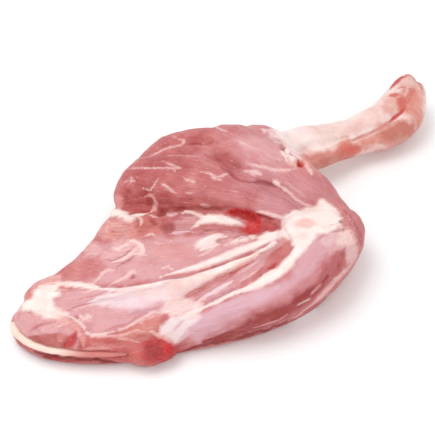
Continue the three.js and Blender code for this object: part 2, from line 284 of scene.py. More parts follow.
MARKS = (
    mark("white on the mound", 1.8, 0.1, ((214, 127, 0.7), (219, 129, 1.2), (228, 132, 0.7)), rough=0.8,
        film=0.9, fat=0.1),
    # Painted shade along the fold.
    mark("fold line", 1.0, -0.7, ((187, 144), (195, 143), (206, 144), (214, 140)), tone=0.1),
    mark("mound line a", 0.9, 0.2, ((173, 136, 1.4), (178, 139), (184, 140, 1.4), (181, 145), (172, 147),
        (165, 149), (158, 153), (148, 157, 0.7)), film=0.75),
    mark("mound line a, end", 0.7, 0.1, ((147, 157), (140, 159), (133, 163)), film=0.6),
    mark("mound line b", 0.6, 0.1, ((165, 156, 1.5), (173, 155), (188, 156), (202, 157), (208, 160),
        (213, 163)), film=0.7),
    mark("mound line c", 0.7, 0.2, ((128, 169), (138, 168), (156, 168), (168, 168), (173, 169),
        (177, 174, 0.7)), film=0.95),
    mark("mound line d", 1.1, 0.1, ((163, 161, 0.5), (170, 164), (176, 167), (182, 168, 0.6)), film=0.7,
        silver=0.2),
    mark("mound mark e", 0.8, 0.2, ((130, 175, 0.6), (132, 179), (136, 183)), film=0.7),
    mark("mound mark e, arm", 0.9, 0.2, ((122, 184, 0.6), (128, 181), (134, 181), (128, 184)), film=0.7),
    mark("mound mark f", 0.8, 0.2, ((160, 177, 0.6), (156, 182), (152, 188, 1.2), (149, 190),
        (143, 188, 0.6)), film=0.85),
    mark("mound mark g", 0.8, 0.2, ((160, 184), (167, 187), (172, 191), (177, 193, 0.6)), film=0.85),
    mark("mound mark h", 2.2, 0.7, ((145, 197, 0.5), (151, 196, 0.7), (155, 201), (156, 207, 1.2),
        (151, 212, 0.8)), film=0.35, tone=0.86, warm=0.25),
    mark("mound line i", 0.9, 0.2, ((199, 171, 0.6), (204, 172, 0.7), (210, 174), (217, 177), (224, 175, 1.2),
        (230, 172, 0.6)), film=0.9),
    mark("spot one", 1.3, 0.1, ((185, 179, 0.6), (190, 180, 1.1), (195, 183, 0.6)), rough=0.9, film=0.7),
    mark("spot two", 1.4, 0.1, ((211, 177, 0.6), (217, 179, 1.1), (222, 181, 0.6)), rough=0.9, film=0.8,
        fat=0.05),
    mark("spot three", 0.8, 0.1, ((185, 192, 0.7), (190, 193), (194, 192, 0.6)), rough=0.9, film=0.5),
    mark("spot four", 0.8, 0.1, ((231, 190, 0.6), (236, 192), (240, 191, 0.6)), rough=0.9, film=0.5),
    mark("dots at the foot", 1.1, 0.4, ((200, 205, 0.7), (205, 206, 1.2), (211, 207, 0.7)), rough=0.9,
        film=0.7),
    mark("light streak", 1.3, 0, ((236, 140), (250, 147), (264, 154), (280, 160)), film=0.35),
    # Painted shade in the crease between the two muscles of the mound.
    mark("crease", 1.9, -1.0, ((219, 163, 0.6), (225, 169), (230, 171), (237, 178), (247, 181),
        (256, 182, 0.6)), tone=0.14, dark=0.02),
    mark("crease, deepest", 1.5, -1.0, ((254, 181, 0.7), (262, 183, 1.2), (272, 185), (280, 188, 0.5)),
        tone=0.04, silver=0.15, dark=0.06),
    mark("mound line j", 1.2, 0.2, ((242, 161, 0.5), (252, 165), (264, 167), (276, 170), (288, 170),
        (296, 168, 0.6)), film=0.8, silver=0.2),
    mark("mound line j, shade", 1.6, 0, ((250, 168), (264, 172), (280, 175)), silver=0.4, tone=0.5),
    mark("mound line k", 1.5, 0.2, ((243, 171, 0.5), (251, 172), (257, 173, 1.1), (264, 175, 0.5)), rough=0.8,
        film=0.9, fat=0.22),
    mark("white knot", 1.7, 0.4, ((273, 180, 0.8), (276, 183, 1.2), (279, 186, 0.9)), fat=0.6, film=0.6),
    mark("mound line l", 1.0, 0.3, ((279, 185), (287, 191), (296, 199), (304, 204), (313, 207)), film=0.95,
        fat=0.15),
    mark("mound line m", 0.8, 0, ((284, 181), (296, 190), (306, 197)), film=0.4, silver=0.3),
    # Painted shade in the crease at the mound's foot.
    mark("foot crease", 1.8, -1.6, ((160, 215), (172, 211), (186, 210), (206, 209), (222, 210)), tone=0.06,
        dark=0.06),
    mark("pink edge of the mound", 1.3, 0.3, ((256, 211, 0.7), (266, 213), (276, 216), (286, 219)), film=0.9,
        fat=0.3),
    mark("blood", 2.8, -0.5, ((226, 213, 0.7), (234, 212.5, 0.9), (243, 214, 1.1), (251, 217, 1.4),
        (257, 221, 1.4), (257, 226, 1.1)), blood=1.0, fat=0.0, film=0.0),
    # The blood is the meat's own; the dark in the slit is painted shade.
    mark("blood slit", 1.7, -1.2, ((229, 213.5, 0.7), (238, 214), (248, 216, 1.2), (256, 221, 1.0)), dark=0.3,
        blood=1.0),
    mark("blood slit, end", 1.1, -0.9, ((256, 215), (265, 217), (274, 220, 0.6)), dark=0.4, tone=0.1,
        blood=0.45),
    mark("brown edge", 0.9, -0.6, ((264, 222, 0.6), (272, 223), (277, 227), (272, 231, 0.6)), dark=0.25,
        tone=0.2),
    mark("brown under the blood", 1.0, -0.5, ((233, 217.5, 0.7), (239, 219), (246, 221.5, 0.6)), dark=0.2,
        fat=0.3),
    mark("left fat streak", 3.6, 1.2, ((108, 211, 0.7), (114, 213, 1.1), (121, 215, 1.1), (130, 218),
        (138, 216, 0.8), (147, 214, 0.5)), fat=1.0, warm=0.0),
    mark("left fat streak, drop", 1.7, 0.6, ((137, 218), (141, 221), (140, 226, 0.5)), fat=0.8),
    mark("lump flecks a", 0.9, 0.3, ((149, 215, 0.6), (154, 217), (160, 218, 0.6)), film=0.9, fat=0.2),
    mark("lump flecks b", 1.0, 0.3, ((165, 213, 0.6), (171, 215), (179, 213, 0.7)), film=0.8, silver=0.4),
    mark("foot line", 1.2, 0.4, ((182, 213), (190, 212), (198, 215), (205, 217), (216, 216), (227, 217, 0.7)),
        fat=0.85),
    mark("white cord", 2.7, 1.6, ((191, 229, 0.4), (197, 226, 0.9), (203, 222, 1.1), (211, 220, 1.2),
        (220, 220, 1.2), (230, 222, 1.1), (239, 224, 0.9), (246, 227, 0.5)), fat=1.0),
    # Painted shadow under the white cord.
    mark("shadow under the cord", 1.0, -1.3, ((202, 231), (211, 229), (220, 228), (229, 229), (235, 231)), dark=0.34,
        fat=0.1),
    mark("lilac line", 1.1, 0.3, ((167, 234, 0.6), (176, 232), (186, 231), (194, 232, 0.7)), silver=0.95,
        film=0.7),
    mark("fleck one", 0.9, 0.2, ((145, 237, 0.6), (151, 235), (156, 236, 0.7)), film=0.9),
    mark("fleck two", 0.9, 0.2, ((154, 242, 0.6), (160, 244), (164, 243, 0.6)), film=0.85),
    mark("fleck three", 0.7, 0.1, ((166, 243, 0.6), (173, 240, 0.6)), film=0.7),
    mark("fleck four", 0.8, 0.1, ((159, 256, 0.6), (166, 257, 0.6)), film=0.7),
    mark("fleck five", 1.0, 0.1, ((161, 269, 0.6), (168, 267), (174, 271, 0.6)), film=0.85),
    mark("tuft, upper", 1.2, 0.4, ((196, 246, 0.4), (203, 242), (210, 238), (218, 236), (226, 237, 0.5)),
        rough=0.8, fat=0.95, silver=0.2),
    mark("tuft, lower", 1.0, 0.3, ((198, 251, 0.4), (206, 248), (214, 246), (221, 244, 0.5)), rough=0.8,
        fat=0.8, silver=0.3),
    # Painted shade in the arm of the tuft's hole.
    mark("tuft hole, arm", 0.6, -0.5, ((214, 243), (218, 241), (223, 240), (227, 238, 0.6)), rough=0.9,
        dark=0.22, fat=0.2, tone=0.3, film=0.2),
    mark("tuft tail", 0.8, 0.2, ((198, 257, 0.5), (207, 252), (216, 247, 0.6)), film=0.8),
    mark("cream lumps, tail", 0.9, 0.2, ((222, 246, 0.4), (228, 244), (234, 243, 0.6)), rough=0.7, film=0.8),
    mark("cream outline", 0.7, -0.6, ((229, 243), (234, 239), (239, 236), (244, 234)), dark=0.16, tone=0.3,
        warm=0.3, fat=0.2),
    mark("cream ring", 0.6, -0.5, ((238, 243), (240, 239), (246, 237), (250, 239), (247, 242), (241, 243)),
        dark=0.16, tone=0.4, fat=0.3),
    # Painted highlights on the wrinkled tissue, over a thin white film.
    mark("wrinkle, white a", 1.7, 0.7, ((128, 241, 0.6), (136, 242), (141, 246), (143, 252, 0.8),
        (139, 257, 0.5)), rough=0.9, film=0.95, fat=0.4),
    mark("wrinkle, white b", 1.6, 0.5, ((110, 248, 0.6), (118, 249), (124, 246), (131, 243, 0.7)), rough=0.9,
        film=0.95, fat=0.3),
    mark("wrinkle, white c", 1.0, 0.3, ((103, 252, 0.5), (109, 254), (118, 254, 0.7)), rough=0.9, film=0.5),
    mark("wrinkle, white d", 1.3, 0.5, ((113, 262, 0.6), (123, 259), (131, 254), (137, 249, 0.7)), rough=0.9,
        film=0.9, fat=0.25),
    mark("wrinkle, white e", 1.0, 0.3, ((135, 254, 0.6), (141, 254), (146, 256, 0.5)), rough=0.9, film=0.9,
        fat=0.3),
    # Painted shade in the wrinkles.
    mark("wrinkle, dark a", 0.8, -0.8, ((106, 259), (114, 260), (121, 257), (128, 252), (134, 247)), dark=0.3,
        tone=0.4),
    mark("wrinkle, dark b", 0.8, -0.4, ((118, 266), (127, 261), (135, 256)), dark=0.16, tone=0.45),
    mark("fan line a", 0.9, 0.2, ((91, 285), (98, 279), (103, 273), (108, 270), (115, 270, 0.6)), film=0.95),
    mark("fan line b", 1.0, 0.2, ((107, 287, 0.7), (116, 282), (126, 277), (133, 272, 1.2), (139, 275, 0.6)),
        film=0.95),
    mark("fan line b, dot", 1.2, -0.4, ((131, 278), (135, 276)), dark=0.08, tone=0.3),
    mark("upper strip", 2.3, 0.8, ((160, 277, 0.3), (172, 274, 0.5), (184, 271, 0.8), (196, 268, 1.0),
        (210, 263, 1.15), (226, 257, 1.2), (240, 251, 1.2), (254, 246, 1.2), (270, 240, 1.1), (286, 234)),
        rough=0.12, fat=0.97, silver=0.2),
    mark("white band", 2.8, 1.3, ((58, 285, 0.7), (76, 286, 0.8), (98, 289, 0.45), (120, 290, 0.5),
        (145, 287, 0.9), (165, 284, 1.3), (185, 281, 1.5), (205, 275, 1.4), (220, 270, 1.2), (235, 264, 1.1),
        (250, 258), (262, 251), (275, 243)), rough=0.12, fat=0.97, silver=0.05),
    # Painted shadow in the gap between the white strips.
    mark("strip gap", 0.9, -0.8, ((98, 288, 0.6), (120, 288, 0.8), (145, 284), (165, 280), (190, 276),
        (206, 271), (220, 266), (233, 260), (245, 255, 0.6)), dark=0.1, silver=0.5, tone=0.5, fat=0.1),
    mark("band slit", 0.6, -0.4, ((250, 252), (258, 250), (267, 247)), dark=0.16, fat=0.4),
    mark("pink strip", 1.6, -0.4, ((180, 301, 0.6), (190, 295), (204, 288), (219, 281), (234, 273),
        (240, 269, 0.7)), tone=0.5, warm=0.1, silver=0.05),
    mark("red strip", 1.7, -0.6, ((229, 274, 0.5), (238, 268), (248, 262, 1.1), (256, 255, 0.6)), tone=0.12,
        blood=0.3, silver=0.0),
    mark("red strip, light", 1.0, 0.3, ((236, 275, 0.6), (246, 269), (256, 262), (262, 256, 0.6)), film=0.7,
        tone=0.8),
    mark("second red strip", 1.5, -0.4, ((234, 287, 0.5), (246, 280), (256, 273), (264, 266, 0.6)), tone=0.24,
        blood=0.12, warm=0.1),
    mark("second red strip, light", 0.9, 0.3, ((240, 281, 0.5), (250, 275), (260, 268, 0.6)), film=0.6,
        tone=0.8),
    mark("lilac strip", 2.1, 0, ((198, 300, 0.5), (210, 293), (221, 287), (232, 281, 0.7)), silver=0.9,
        film=0.3, tone=0.9, fat=0.5),
    mark("lilac groove", 1.3, -1.1, ((199, 307, 0.5), (208, 303), (218, 297), (228, 291), (238, 286, 0.5)),
        dark=0.12, silver=0.45, tone=0.35),
    mark("thin white line", 1.3, 0.5, ((178, 321, 0.8), (190, 314), (204, 307), (220, 300), (235, 293),
        (250, 288), (262, 285)), film=0.9, fat=0.7),
    mark("spindle", 3.8, 0.9, ((266, 263, 0.6), (272, 257), (278, 251, 1.1), (285, 246, 0.95),
        (291, 243, 0.5)), rough=0.25, tone=0.4, warm=0.2, fat=0.0, silver=0.0, film=0.0),
    mark("spindle, core", 2.0, 0.2, ((271, 259, 0.7), (277, 253), (283, 248, 0.7)), tone=0.18),
    mark("spindle, top", 1.0, 0.1, ((278, 243), (285, 240), (293, 243)), film=0.5, warm=0.4),
    mark("cap crease", 0.7, -0.5, ((280, 221), (285, 229), (290, 237), (294, 244)), dark=0.08, fat=0.7,
        silver=0.3),
    # Painted shade in the cap's cracks.
    mark("cap crack", 0.7, -0.9, ((329, 232, 0.6), (336, 231, 1.2), (342, 230), (348, 228), (354, 229, 0.7)),
        dark=0.3, fat=0.3),
    mark("cap crack, upper", 0.6, -0.5, ((326, 226, 0.6), (333, 225), (340, 223)), dark=0.16, fat=0.6),
    mark("fat by the spindle", 2.6, 0.7, ((298, 245, 0.8), (293, 256, 1.0), (286, 266, 1.2), (276, 275, 1.1),
        (264, 281, 1.1), (250, 288, 0.8), (238, 293, 0.4)), rough=0.2, fat=1.0, silver=0.1),
    mark("fat by the spindle, left", 1.9, 0.4, ((262, 278, 0.7), (269, 274), (276, 270, 0.8)), rough=0.2,
        fat=0.9, warm=0.1),
    mark("red notch", 1.5, -1.0, ((267, 268, 0.7), (271, 267), (276, 263, 0.8)), blood=0.7, dark=0.3, fat=0.0,
        film=0.0),
    mark("red rim", 2.6, 0, ((344, 210, 0.6), (350, 218), (356, 227), (360, 237), (362, 246)), tone=0.3,
        fat=0.0, silver=0.05),
    mark("red rim, flecks", 0.9, 0, ((346, 213), (352, 223), (355, 229)), film=0.5),
    # Silverskin with a painted sheen: the reflection of the bright room on the front muscle.
    mark("front sheen, light", 4.2, 0, ((184, 338, 0.6), (194, 328, 0.9), (210, 317), (226, 309), (244, 302),
        (262, 295, 0.9), (278, 287, 0.6)), rough=0.2, silver=0.88, tone=0.88),
    mark("front middle", 4.0, 0, ((214, 333, 0.6), (240, 322), (262, 311), (284, 300), (304, 286),
        (320, 270, 0.7)), rough=0.25, silver=0.22, tone=0.54),
    # Partly the deep red of the front muscle's lower side, partly painted shade where it turns down.
    mark("front dark", 7.0, -0.2, ((204, 342, 0.4), (228, 335, 0.7), (250, 327), (270, 319), (290, 310),
        (306, 298, 0.8), (320, 286, 0.4), (328, 276, 0.3)), tone=0.03, silver=0.0, dark=0.1),
    # Painted shade along the lower edge, where it turns under.
    mark("front foot", 1.7, -0.3, ((174, 353), (190, 350), (206, 346), (228, 341), (250, 335), (268, 330),
        (284, 323), (298, 314, 0.7)), rough=0.9, tone=0.0, dark=0.4),
    mark("front foot, pale", 1.1, 0.2, ((254, 328, 0.6), (266, 324), (278, 320), (288, 314, 0.6)), tone=0.7,
        film=0.3),
    mark("front pale edge", 2.7, 0.2, ((288, 321, 0.5), (302, 312, 0.8), (316, 301, 1.1), (328, 289, 1.1),
        (340, 276), (350, 266, 0.8), (358, 254, 0.7)), tone=0.84, film=0.4),
    mark("front red edge", 1.4, -0.2, ((300, 306, 0.6), (312, 297), (324, 286), (334, 278, 0.7)), tone=0.14),
    mark("scratch a", 0.9, 0.3, ((298, 305), (304, 302), (310, 299)), film=0.95),
    mark("scratch b", 1.0, 0.2, ((311, 294), (317, 288), (322, 284)), film=0.4, tone=0.5),
    mark("scratch c", 0.8, 0.2, ((333, 280), (341, 275)), film=0.8, warm=0.3),
    mark("band root", 1.9, 0.4, ((40, 286), (52, 285), (66, 284), (84, 285), (100, 287, 0.7)), fat=0.95,
        warm=0.1),
    mark("band root, pink", 0.9, 0.2, ((36, 286), (46, 284), (56, 284)), warm=0.5, film=0.4, fat=0.3),
    mark("band root, fleck", 0.8, -0.2, ((54, 292), (60, 290), (68, 289)), tone=0.6, warm=0.3, fat=0.3),
    mark("fan thread a", 0.7, -0.5, ((68, 310), (80, 305), (95, 302), (110, 299), (121, 297)), dark=0.14,
        tone=0.35),
    mark("fan thread b", 0.6, -0.3, ((72, 300), (98, 295), (120, 292)), dark=0.05, tone=0.5),
    mark("fan thread c", 0.8, 0.3, ((72, 311), (86, 306), (100, 304), (118, 301)), film=0.75),
    mark("fan thread d", 0.7, 0.2, ((66, 294), (80, 292), (100, 292)), film=0.5),
    mark("fan threads, white", 2.3, 0.3, ((86, 303, 0.4), (102, 298, 0.8), (122, 294, 1.1), (142, 292, 1.2),
        (160, 291, 0.8)), rough=0.9, fat=0.72, silver=0.6, film=0.4),
    mark("fan threads, lilac", 1.8, 0.2, ((112, 303, 0.4), (130, 301), (148, 298, 1.2), (166, 294, 0.6)),
        rough=0.9, fat=0.66, silver=0.85),
    mark("fan edge, left", 0.7, -0.4, ((50, 301), (54, 307), (60, 312)), dark=0.08, tone=0.5),
    mark("fan shade", 1.6, -0.3, ((132, 314), (148, 310), (162, 309)), tone=0.55, silver=0.6, dark=0.03),
    mark("wrinkle f", 0.7, 0.3, ((79, 315), (85, 319), (92, 316)), film=0.95),
    mark("wrinkle g", 0.7, 0.3, ((82, 322), (86, 318), (90, 314)), film=0.9),
    mark("wrinkle h", 0.8, -0.4, ((74, 316), (79, 319)), dark=0.12, tone=0.4),
    mark("membrane edge", 0.9, 0.6, ((58, 316, 0.7), (68, 317), (76, 321, 1.3), (83, 326, 1.4),
        (86, 332, 0.9), (94, 335), (104, 334), (110, 331, 0.9)), rough=0.7, film=0.9, fat=0.3, warm=0.15),
    mark("membrane edge, right", 0.7, 0.5, ((106, 334), (115, 331, 1.1), (125, 328.5, 0.8), (135, 322.5),
        (145, 317), (154, 312), (162, 314, 0.6)), rough=0.9, film=0.85, fat=0.1, warm=0.25),
    mark("under the membrane", 0.8, -0.5, ((114, 334), (124, 331.5), (133, 327), (142, 322), (150, 317)),
        dark=0.08, tone=0.3, warm=0.5),
    mark("above the membrane", 0.8, -0.3, ((106, 330), (118, 326), (128, 324), (136, 318), (146, 313)),
        tone=0.6, dark=0.03, silver=0.1),
    mark("grey by the membrane", 1.2, -0.2, ((87, 326), (92, 331)), silver=0.5, tone=0.6),
    mark("orange, cream a", 0.9, 0.3, ((113, 337, 0.6), (124, 335), (135, 331), (146, 332, 0.7)), rough=0.9,
        film=0.6, warm=0.4),
    mark("orange, cream b", 1.1, 0.3, ((138, 325, 0.5), (146, 319), (156, 315, 0.7)), film=0.6, warm=0.6),
    mark("orange, olive", 1.4, 0, ((145, 327, 0.6), (150, 323), (156, 321, 0.6)), dark=0.1, warm=0.7,
        tone=0.5),
    mark("orange, red", 1.0, -0.4, ((132, 338, 0.6), (141, 336), (151, 337, 0.6)), tone=0.2, warm=0.4),
    mark("orange, white", 1.7, 0.4, ((150, 331, 0.5), (157, 334), (164, 338), (172, 343, 0.6)), fat=0.6,
        warm=0.3),
    mark("speckle ridge", 1.1, 0.5, ((164, 311, 0.6), (170, 303), (178, 299), (182, 303, 0.6)), film=0.9,
        warm=0.3),
    mark("speckle gap", 0.8, -0.4, ((160, 312), (166, 309), (172, 310)), tone=0.4, dark=0.06),
    mark("speckle streak a", 0.9, 0.2, ((186, 306), (196, 302), (206, 298)), film=0.8, fat=0.3),
    mark("speckle streak b", 0.8, -0.2, ((176, 314), (184, 311), (194, 309)), silver=0.7, tone=0.6, fat=0.2),
    mark("tendon streak a", 0.9, -0.3, ((172, 332), (178, 326), (184, 320)), silver=0.8, tone=0.6, fat=0.3),
    mark("tendon streak b", 0.9, -0.3, ((178, 341), (186, 333), (194, 325)), silver=0.8, tone=0.6, fat=0.2),
    mark("lobe line", 0.7, -0.5, ((30, 332), (38, 327), (46, 324), (56, 323)), dark=0.1, tone=0.45),
    mark("lobe light", 1.3, 0.3, ((28, 335), (40, 331), (54, 330), (62, 326)), film=0.35, tone=0.8),
    mark("lobe ridge, outer", 2.2, 1.9, ((55, 326, 0.6), (63, 322), (71, 323), (77, 329), (83, 338),
        (84, 346, 0.6)), tone=0.8, warm=0.45, film=0.2),
    mark("lobe ridge, fleck", 0.9, 0.2, ((57, 328), (63, 326), (69, 326)), warm=0.6, film=0.4),
    mark("lobe grey", 2.0, 0.4, ((59, 336), (63, 340)), tone=0.6, warm=0.35, dark=0.04),
    mark("lobe ridge, red", 2.4, -1.0, ((77, 332, 0.6), (74, 338), (70, 343, 1.1), (63, 347, 0.6)), tone=0.04,
        blood=0.55, dark=0.04),
    mark("band, light line", 0.8, 0.3, ((86, 336), (98, 337), (112, 336), (124, 339), (140, 342)), film=0.55,
        warm=0.3),
    mark("band, light streak", 0.9, 0.2, ((88, 343), (104, 344), (122, 347)), film=0.1, tone=0.5),
    mark("band, red streak", 1.8, -0.3, ((96, 350), (114, 351), (132, 356), (150, 361)), tone=0.2, blood=0.3,
        warm=0.2),
    mark("band, red streak, upper", 1.3, -0.3, ((104, 343, 0.6), (118, 343), (132, 346), (146, 350, 0.6)),
        tone=0.26, blood=0.12),
    mark("band, pale foot", 1.0, 0.2, ((84, 348), (98, 347), (112, 348)), tone=0.8, film=0.2),
    # Painted shade under the protruding strip of the blade's edge.
    mark("shade under the strip", 2.2, -0.8, ((34, 352, 0.7), (50, 357), (64, 359), (80, 360), (100, 361),
        (118, 363, 0.7)), tone=0.0, dark=0.5),
    mark("red layer", 1.4, 0.2, ((40, 359), (54, 362), (68, 363), (86, 364, 0.6)), tone=0.1, blood=0.34,
        warm=0.0, dark=0.0),
    mark("collar, top", 1.2, 0.5, ((270, 130, 0.6), (277, 132), (282, 136), (285, 143), (288, 150)), film=0.9,
        fat=0.6, warm=0.3),
    mark("collar shade", 2.2, -0.8, ((277, 138, 0.6), (281, 144), (284, 151, 0.7)), dark=0.06, fat=0.0,
        tone=0.14, silver=0.15),
    mark("collar, cream", 1.8, 0.5, ((281, 152, 0.6), (286, 156, 1.1), (291, 161, 1.1), (296, 166, 0.7)),
        rough=0.9, fat=0.92),
    mark("collar, outline", 0.6, -0.5, ((283, 150), (287, 157), (291, 164), (297, 168)), rough=0.9, dark=0.08,
        warm=0.5, fat=0.4),
    mark("collar, pink", 1.6, 0.5, ((289, 151, 0.7), (295, 155), (300, 158, 0.8), (306, 164, 1.1),
        (309, 170, 1.1), (312, 175, 0.7)), film=0.9, fat=0.7, warm=0.1),
    # Blood in the collar's hole, with painted shade at its deepest.
    mark("collar hole, deepest", 1.9, -1.0, ((299, 161, 0.8), (301, 163, 1.1), (302, 165, 0.8)), rough=0.3,
        blood=1.0, dark=0.34, film=0.0, fat=0.0),
)

SHANK_PATCHES = (
    patch("blue white", (292, 133), (24, 10), -2, 0, fat=0.96, silver=0.5, warm=0.04),
    patch("pale pink", (322, 131), (18, 6), 2, 0, fat=0.96, silver=0.2, warm=0.3),
    patch("cream", (316, 141), (34, 7), 3, 0, fat=0.96, warm=0.08, silver=0.0),
    patch("pink lower half", (338, 156), (52, 17), 16, 0, warm=0.42, silver=0.08),
    patch("pink upper edge", (366, 121), (20, 9), 26, 0, silver=0.2, warm=0.36),
    # Painted shade on the shank's lower side.
    patch("pink below", (318, 158), (26, 7), 14, 0, warm=0.92),
    patch("shade below the shank", (334, 160), (28, 5), 20, 0, warm=1.0, dark=0.14),
    patch("pink bend", (345, 143), (9, 6), 30, 0, fat=0.9, silver=0.1, warm=0.8, blood=0.06),
    patch("red patch", (350, 150), (17, 7), 16, 0, fat=0.8, tone=0.2, blood=0.34, warm=1.0),
    patch("red patch, core", (352, 149), (9, 4), 20, 0, blood=0.5, dark=0.03),
    # Painted shade on the shank's lower side, under the groove.
    patch("under the groove", (382, 138), (28, 8), 12, 0, warm=0.95, silver=0.0),
    patch("knuckle, cream", (391, 106), (9, 12), -24, 0, warm=0.66),
    patch("knuckle, right", (410, 98), (13, 24), 0, 0, warm=0.9, silver=0.0),
    patch("orange side", (417, 118), (9, 16), 10, 0, warm=0.82),
    patch("heel", (399, 131), (22, 11), 8, 0, warm=1.0, dark=0.2, silver=0.0),
    patch("heel, end", (404, 142), (13, 5), 12, 0, warm=0.8, silver=0.1),
    patch("knuckle top", (406, 82), (12, 7), 0, 0, warm=0.6),
    patch("small red spot", (394, 95), (6, 2.4), 6, 0, blood=0.45, warm=0.95),
    patch("red flecks", (412, 93), (5, 4), 30, 0, blood=0.2, warm=0.95),
    patch("blood spot", (402, 104), (6, 8), -36, 0, blood=0.4, warm=0.95),
    patch("dark dot", (351, 144), (1.5, 1.2), 0, -0.2, dark=0.3),
)

SHANK_MARKS = (
    mark("neck line", 0.9, -0.4, ((303, 153), (308, 158), (314, 159), (322, 158)), dark=0.14, fat=0.1,
        tone=0.3),
    mark("light line", 1.0, 0.3, ((304, 149), (322, 148), (342, 140), (356, 136)), warm=0.12),
    mark("groove", 1.1, -1.1, ((350, 142, 0.7), (358, 138), (368, 134), (378, 129), (388, 123),
        (396, 118, 1.2)), dark=0.12, fat=0.3, tone=0.34, warm=0.9),
    mark("blood streak", 1.3, -0.6, ((390, 121, 0.7), (396, 116), (401, 112, 1.1), (406, 106, 0.8)),
        blood=0.8, fat=0.0, dark=0.14),
    mark("groove, light side", 1.2, 0.3, ((362, 139), (376, 133), (390, 127), (402, 119)), warm=0.7),
    mark("red tip, left", 3.0, -0.3, ((390, 89, 0.6), (394, 84), (399, 79, 1.1), (406, 76, 0.8)), blood=0.85,
        dark=0.2, fat=0.1),
    mark("red tip, right", 1.6, -0.2, ((405, 76), (411, 75), (417, 79), (421, 86), (424, 95, 0.5)), rough=0.9,
        blood=0.4, dark=0.2, fat=0.4),
    mark("knuckle crease", 0.7, -0.4, ((396, 90, 0.6), (402, 87), (409, 89), (415, 87, 0.6)), rough=0.9,
        dark=0.08, blood=0.2, warm=1.0),
    mark("knuckle crease, right", 0.8, -0.3, ((407, 104, 0.6), (411, 97), (414, 90), (415, 84, 0.6)),
        rough=0.9, blood=0.3, warm=1.0),
    mark("knuckle, light", 1.2, 0.3, ((404, 98, 0.6), (407, 91), (408, 84, 0.6)), rough=0.9, warm=0.6),
    mark("heel line", 1.1, -0.3, ((386, 147), (400, 144), (411, 138)), dark=0.1, fat=0.0, tone=0.3),
)


# ---------------------------------------------------------------- sizes and colours


def colour(name, description, value):
    return bpy.props.FloatVectorProperty(
        name=name, description=description, default=value, subtype="COLOR", size=3, min=0, max=1
    )


def length(name, description, value, least=0.0):
    return bpy.props.FloatProperty(
        name=name, description=description, default=value * MM, min=least * MM, unit="LENGTH"
    )


def strength(name, description, value, **kind):
    return bpy.props.FloatProperty(name=name, description=description, default=value, min=0, **kind)


class ShoulderSizes(bpy.types.PropertyGroup):
    """How finely the meat is modelled and how deep its relief is."""

    grain: length("Mesh grain", "Edge length of the meat's mesh", 1.14, 0.6)
    softening: bpy.props.IntProperty(
        name="Softening", description="Passes that soften the creases between muscles", default=12, min=0
    )
    fibre_relief: length("Fibre relief", "Height of the muscle fibres", 0.16)
    lump_relief: length("Lump relief", "Height of the soft unevenness", 0.45)
    crinkle_relief: length("Crinkle relief", "Height of the crinkles in fat and sinew", 0.2)
    edge_relief: length("Ragged edge", "Depth of the notches in the lower edge", 1.2)
    mark_relief: strength(
        "Relief of marks", "Scale of the height of cords, bands and slits", 1.0, subtype="FACTOR"
    )


class ShoulderColours(bpy.types.PropertyGroup):
    """The colours of the tissues."""

    muscle_dark: colour("Dark muscle", "The deepest red of the cut muscle", (0.33, 0.045, 0.045))
    muscle: colour("Muscle", "The dusky red of most of the meat", (0.50, 0.146, 0.146))
    muscle_pale: colour("Pale muscle", "The light pink of thin muscle", (0.655, 0.322, 0.322))
    # The silverskin's lilac also carries a painted sheen, the reflection of the bright room, where it covers
    # the upper faces of the front muscle and the fan.
    silverskin: colour("Silverskin", "The lilac membrane on the muscle", (0.66, 0.41, 0.48))
    film: colour("Film", "The thin white lines and flecks on the muscle", (0.86, 0.62, 0.60))
    fat: colour("Fat", "The cream white of fat and sinew", (0.91, 0.80, 0.75))
    warm: colour("Fatty tissue", "The orange pink of soft fatty tissue", (0.72, 0.28, 0.22))
    blood: colour("Blood", "Fresh blood", (0.54, 0.012, 0.016))
    blood_light: colour("Bright blood", "The bright grains in the blood", (0.78, 0.10, 0.09))
    # Crevice paints the meat's own dark spots, and also painted shade in slits, cracks, holes and creases.
    crevice: colour("Crevice", "The brown red of deep gaps", (0.14, 0.02, 0.018))
    gristle: colour("Gristle", "The blade's pale edge", (0.88, 0.72, 0.62))
    gristle_red: colour("Red gristle", "The blade's edge where it goes into the meat", (0.62, 0.21, 0.19))
    gristle_pink: colour("Pink gristle", "The flush of the blade's edge", (0.78, 0.42, 0.34))
    fat_lilac: colour("Lilac fat", "Sinew under a lilac sheen", (0.80, 0.72, 0.78))
    fat_pink: colour("Pink fat", "The blush in the fat", (0.84, 0.56, 0.50))
    fat_streak: colour("Streaked fat", "The streaks in the fat", (0.80, 0.54, 0.50))
    # Warm fat is also the painted shade on the shank's lower side.
    fat_warm: colour("Warm fat", "The red brown of thin fat on the shank", (0.62, 0.215, 0.165))


class ShoulderStage(bpy.types.PropertyGroup):
    """The floor and the light."""

    floor: colour("Floor", "The pale floor", (0.93, 0.93, 0.93))
    sky: strength("Room light", "Strength of the even light", 0.86)
    key: strength("Key light", "Power of the large soft light above", 4.1, unit="POWER")
    fill: strength("Fill light", "Power of the soft light in front", 2.0, unit="POWER")


# ---------------------------------------------------------------- numbers


def smooth(value, low, high):
    """0 below low and 1 above high, with a soft step between."""
    t = np.clip((value - low) / (high - low), 0, 1)
    return t * t * (3 - 2 * t)


def curve(points, step):
    """Points every step along a smooth line through the given ones."""
    given = np.array(points, float)
    held = np.vstack([2 * given[:1] - given[1:2], given, 2 * given[-1:] - given[-2:-1]])
    line = []
    for a, b, c, d in zip(held, held[1:], held[2:], held[3:]):
        count = max(2, int(np.linalg.norm(c - b) / step))
        t = np.arange(count)[:, None] / count
        bend, twist = a - 2.5 * b + 2 * c - d / 2, 1.5 * b - a / 2 - 1.5 * c + d / 2
        line.append(b + (c - a) * t / 2 + bend * t**2 + twist * t**3)
    return np.vstack([*line, given[-1:]])


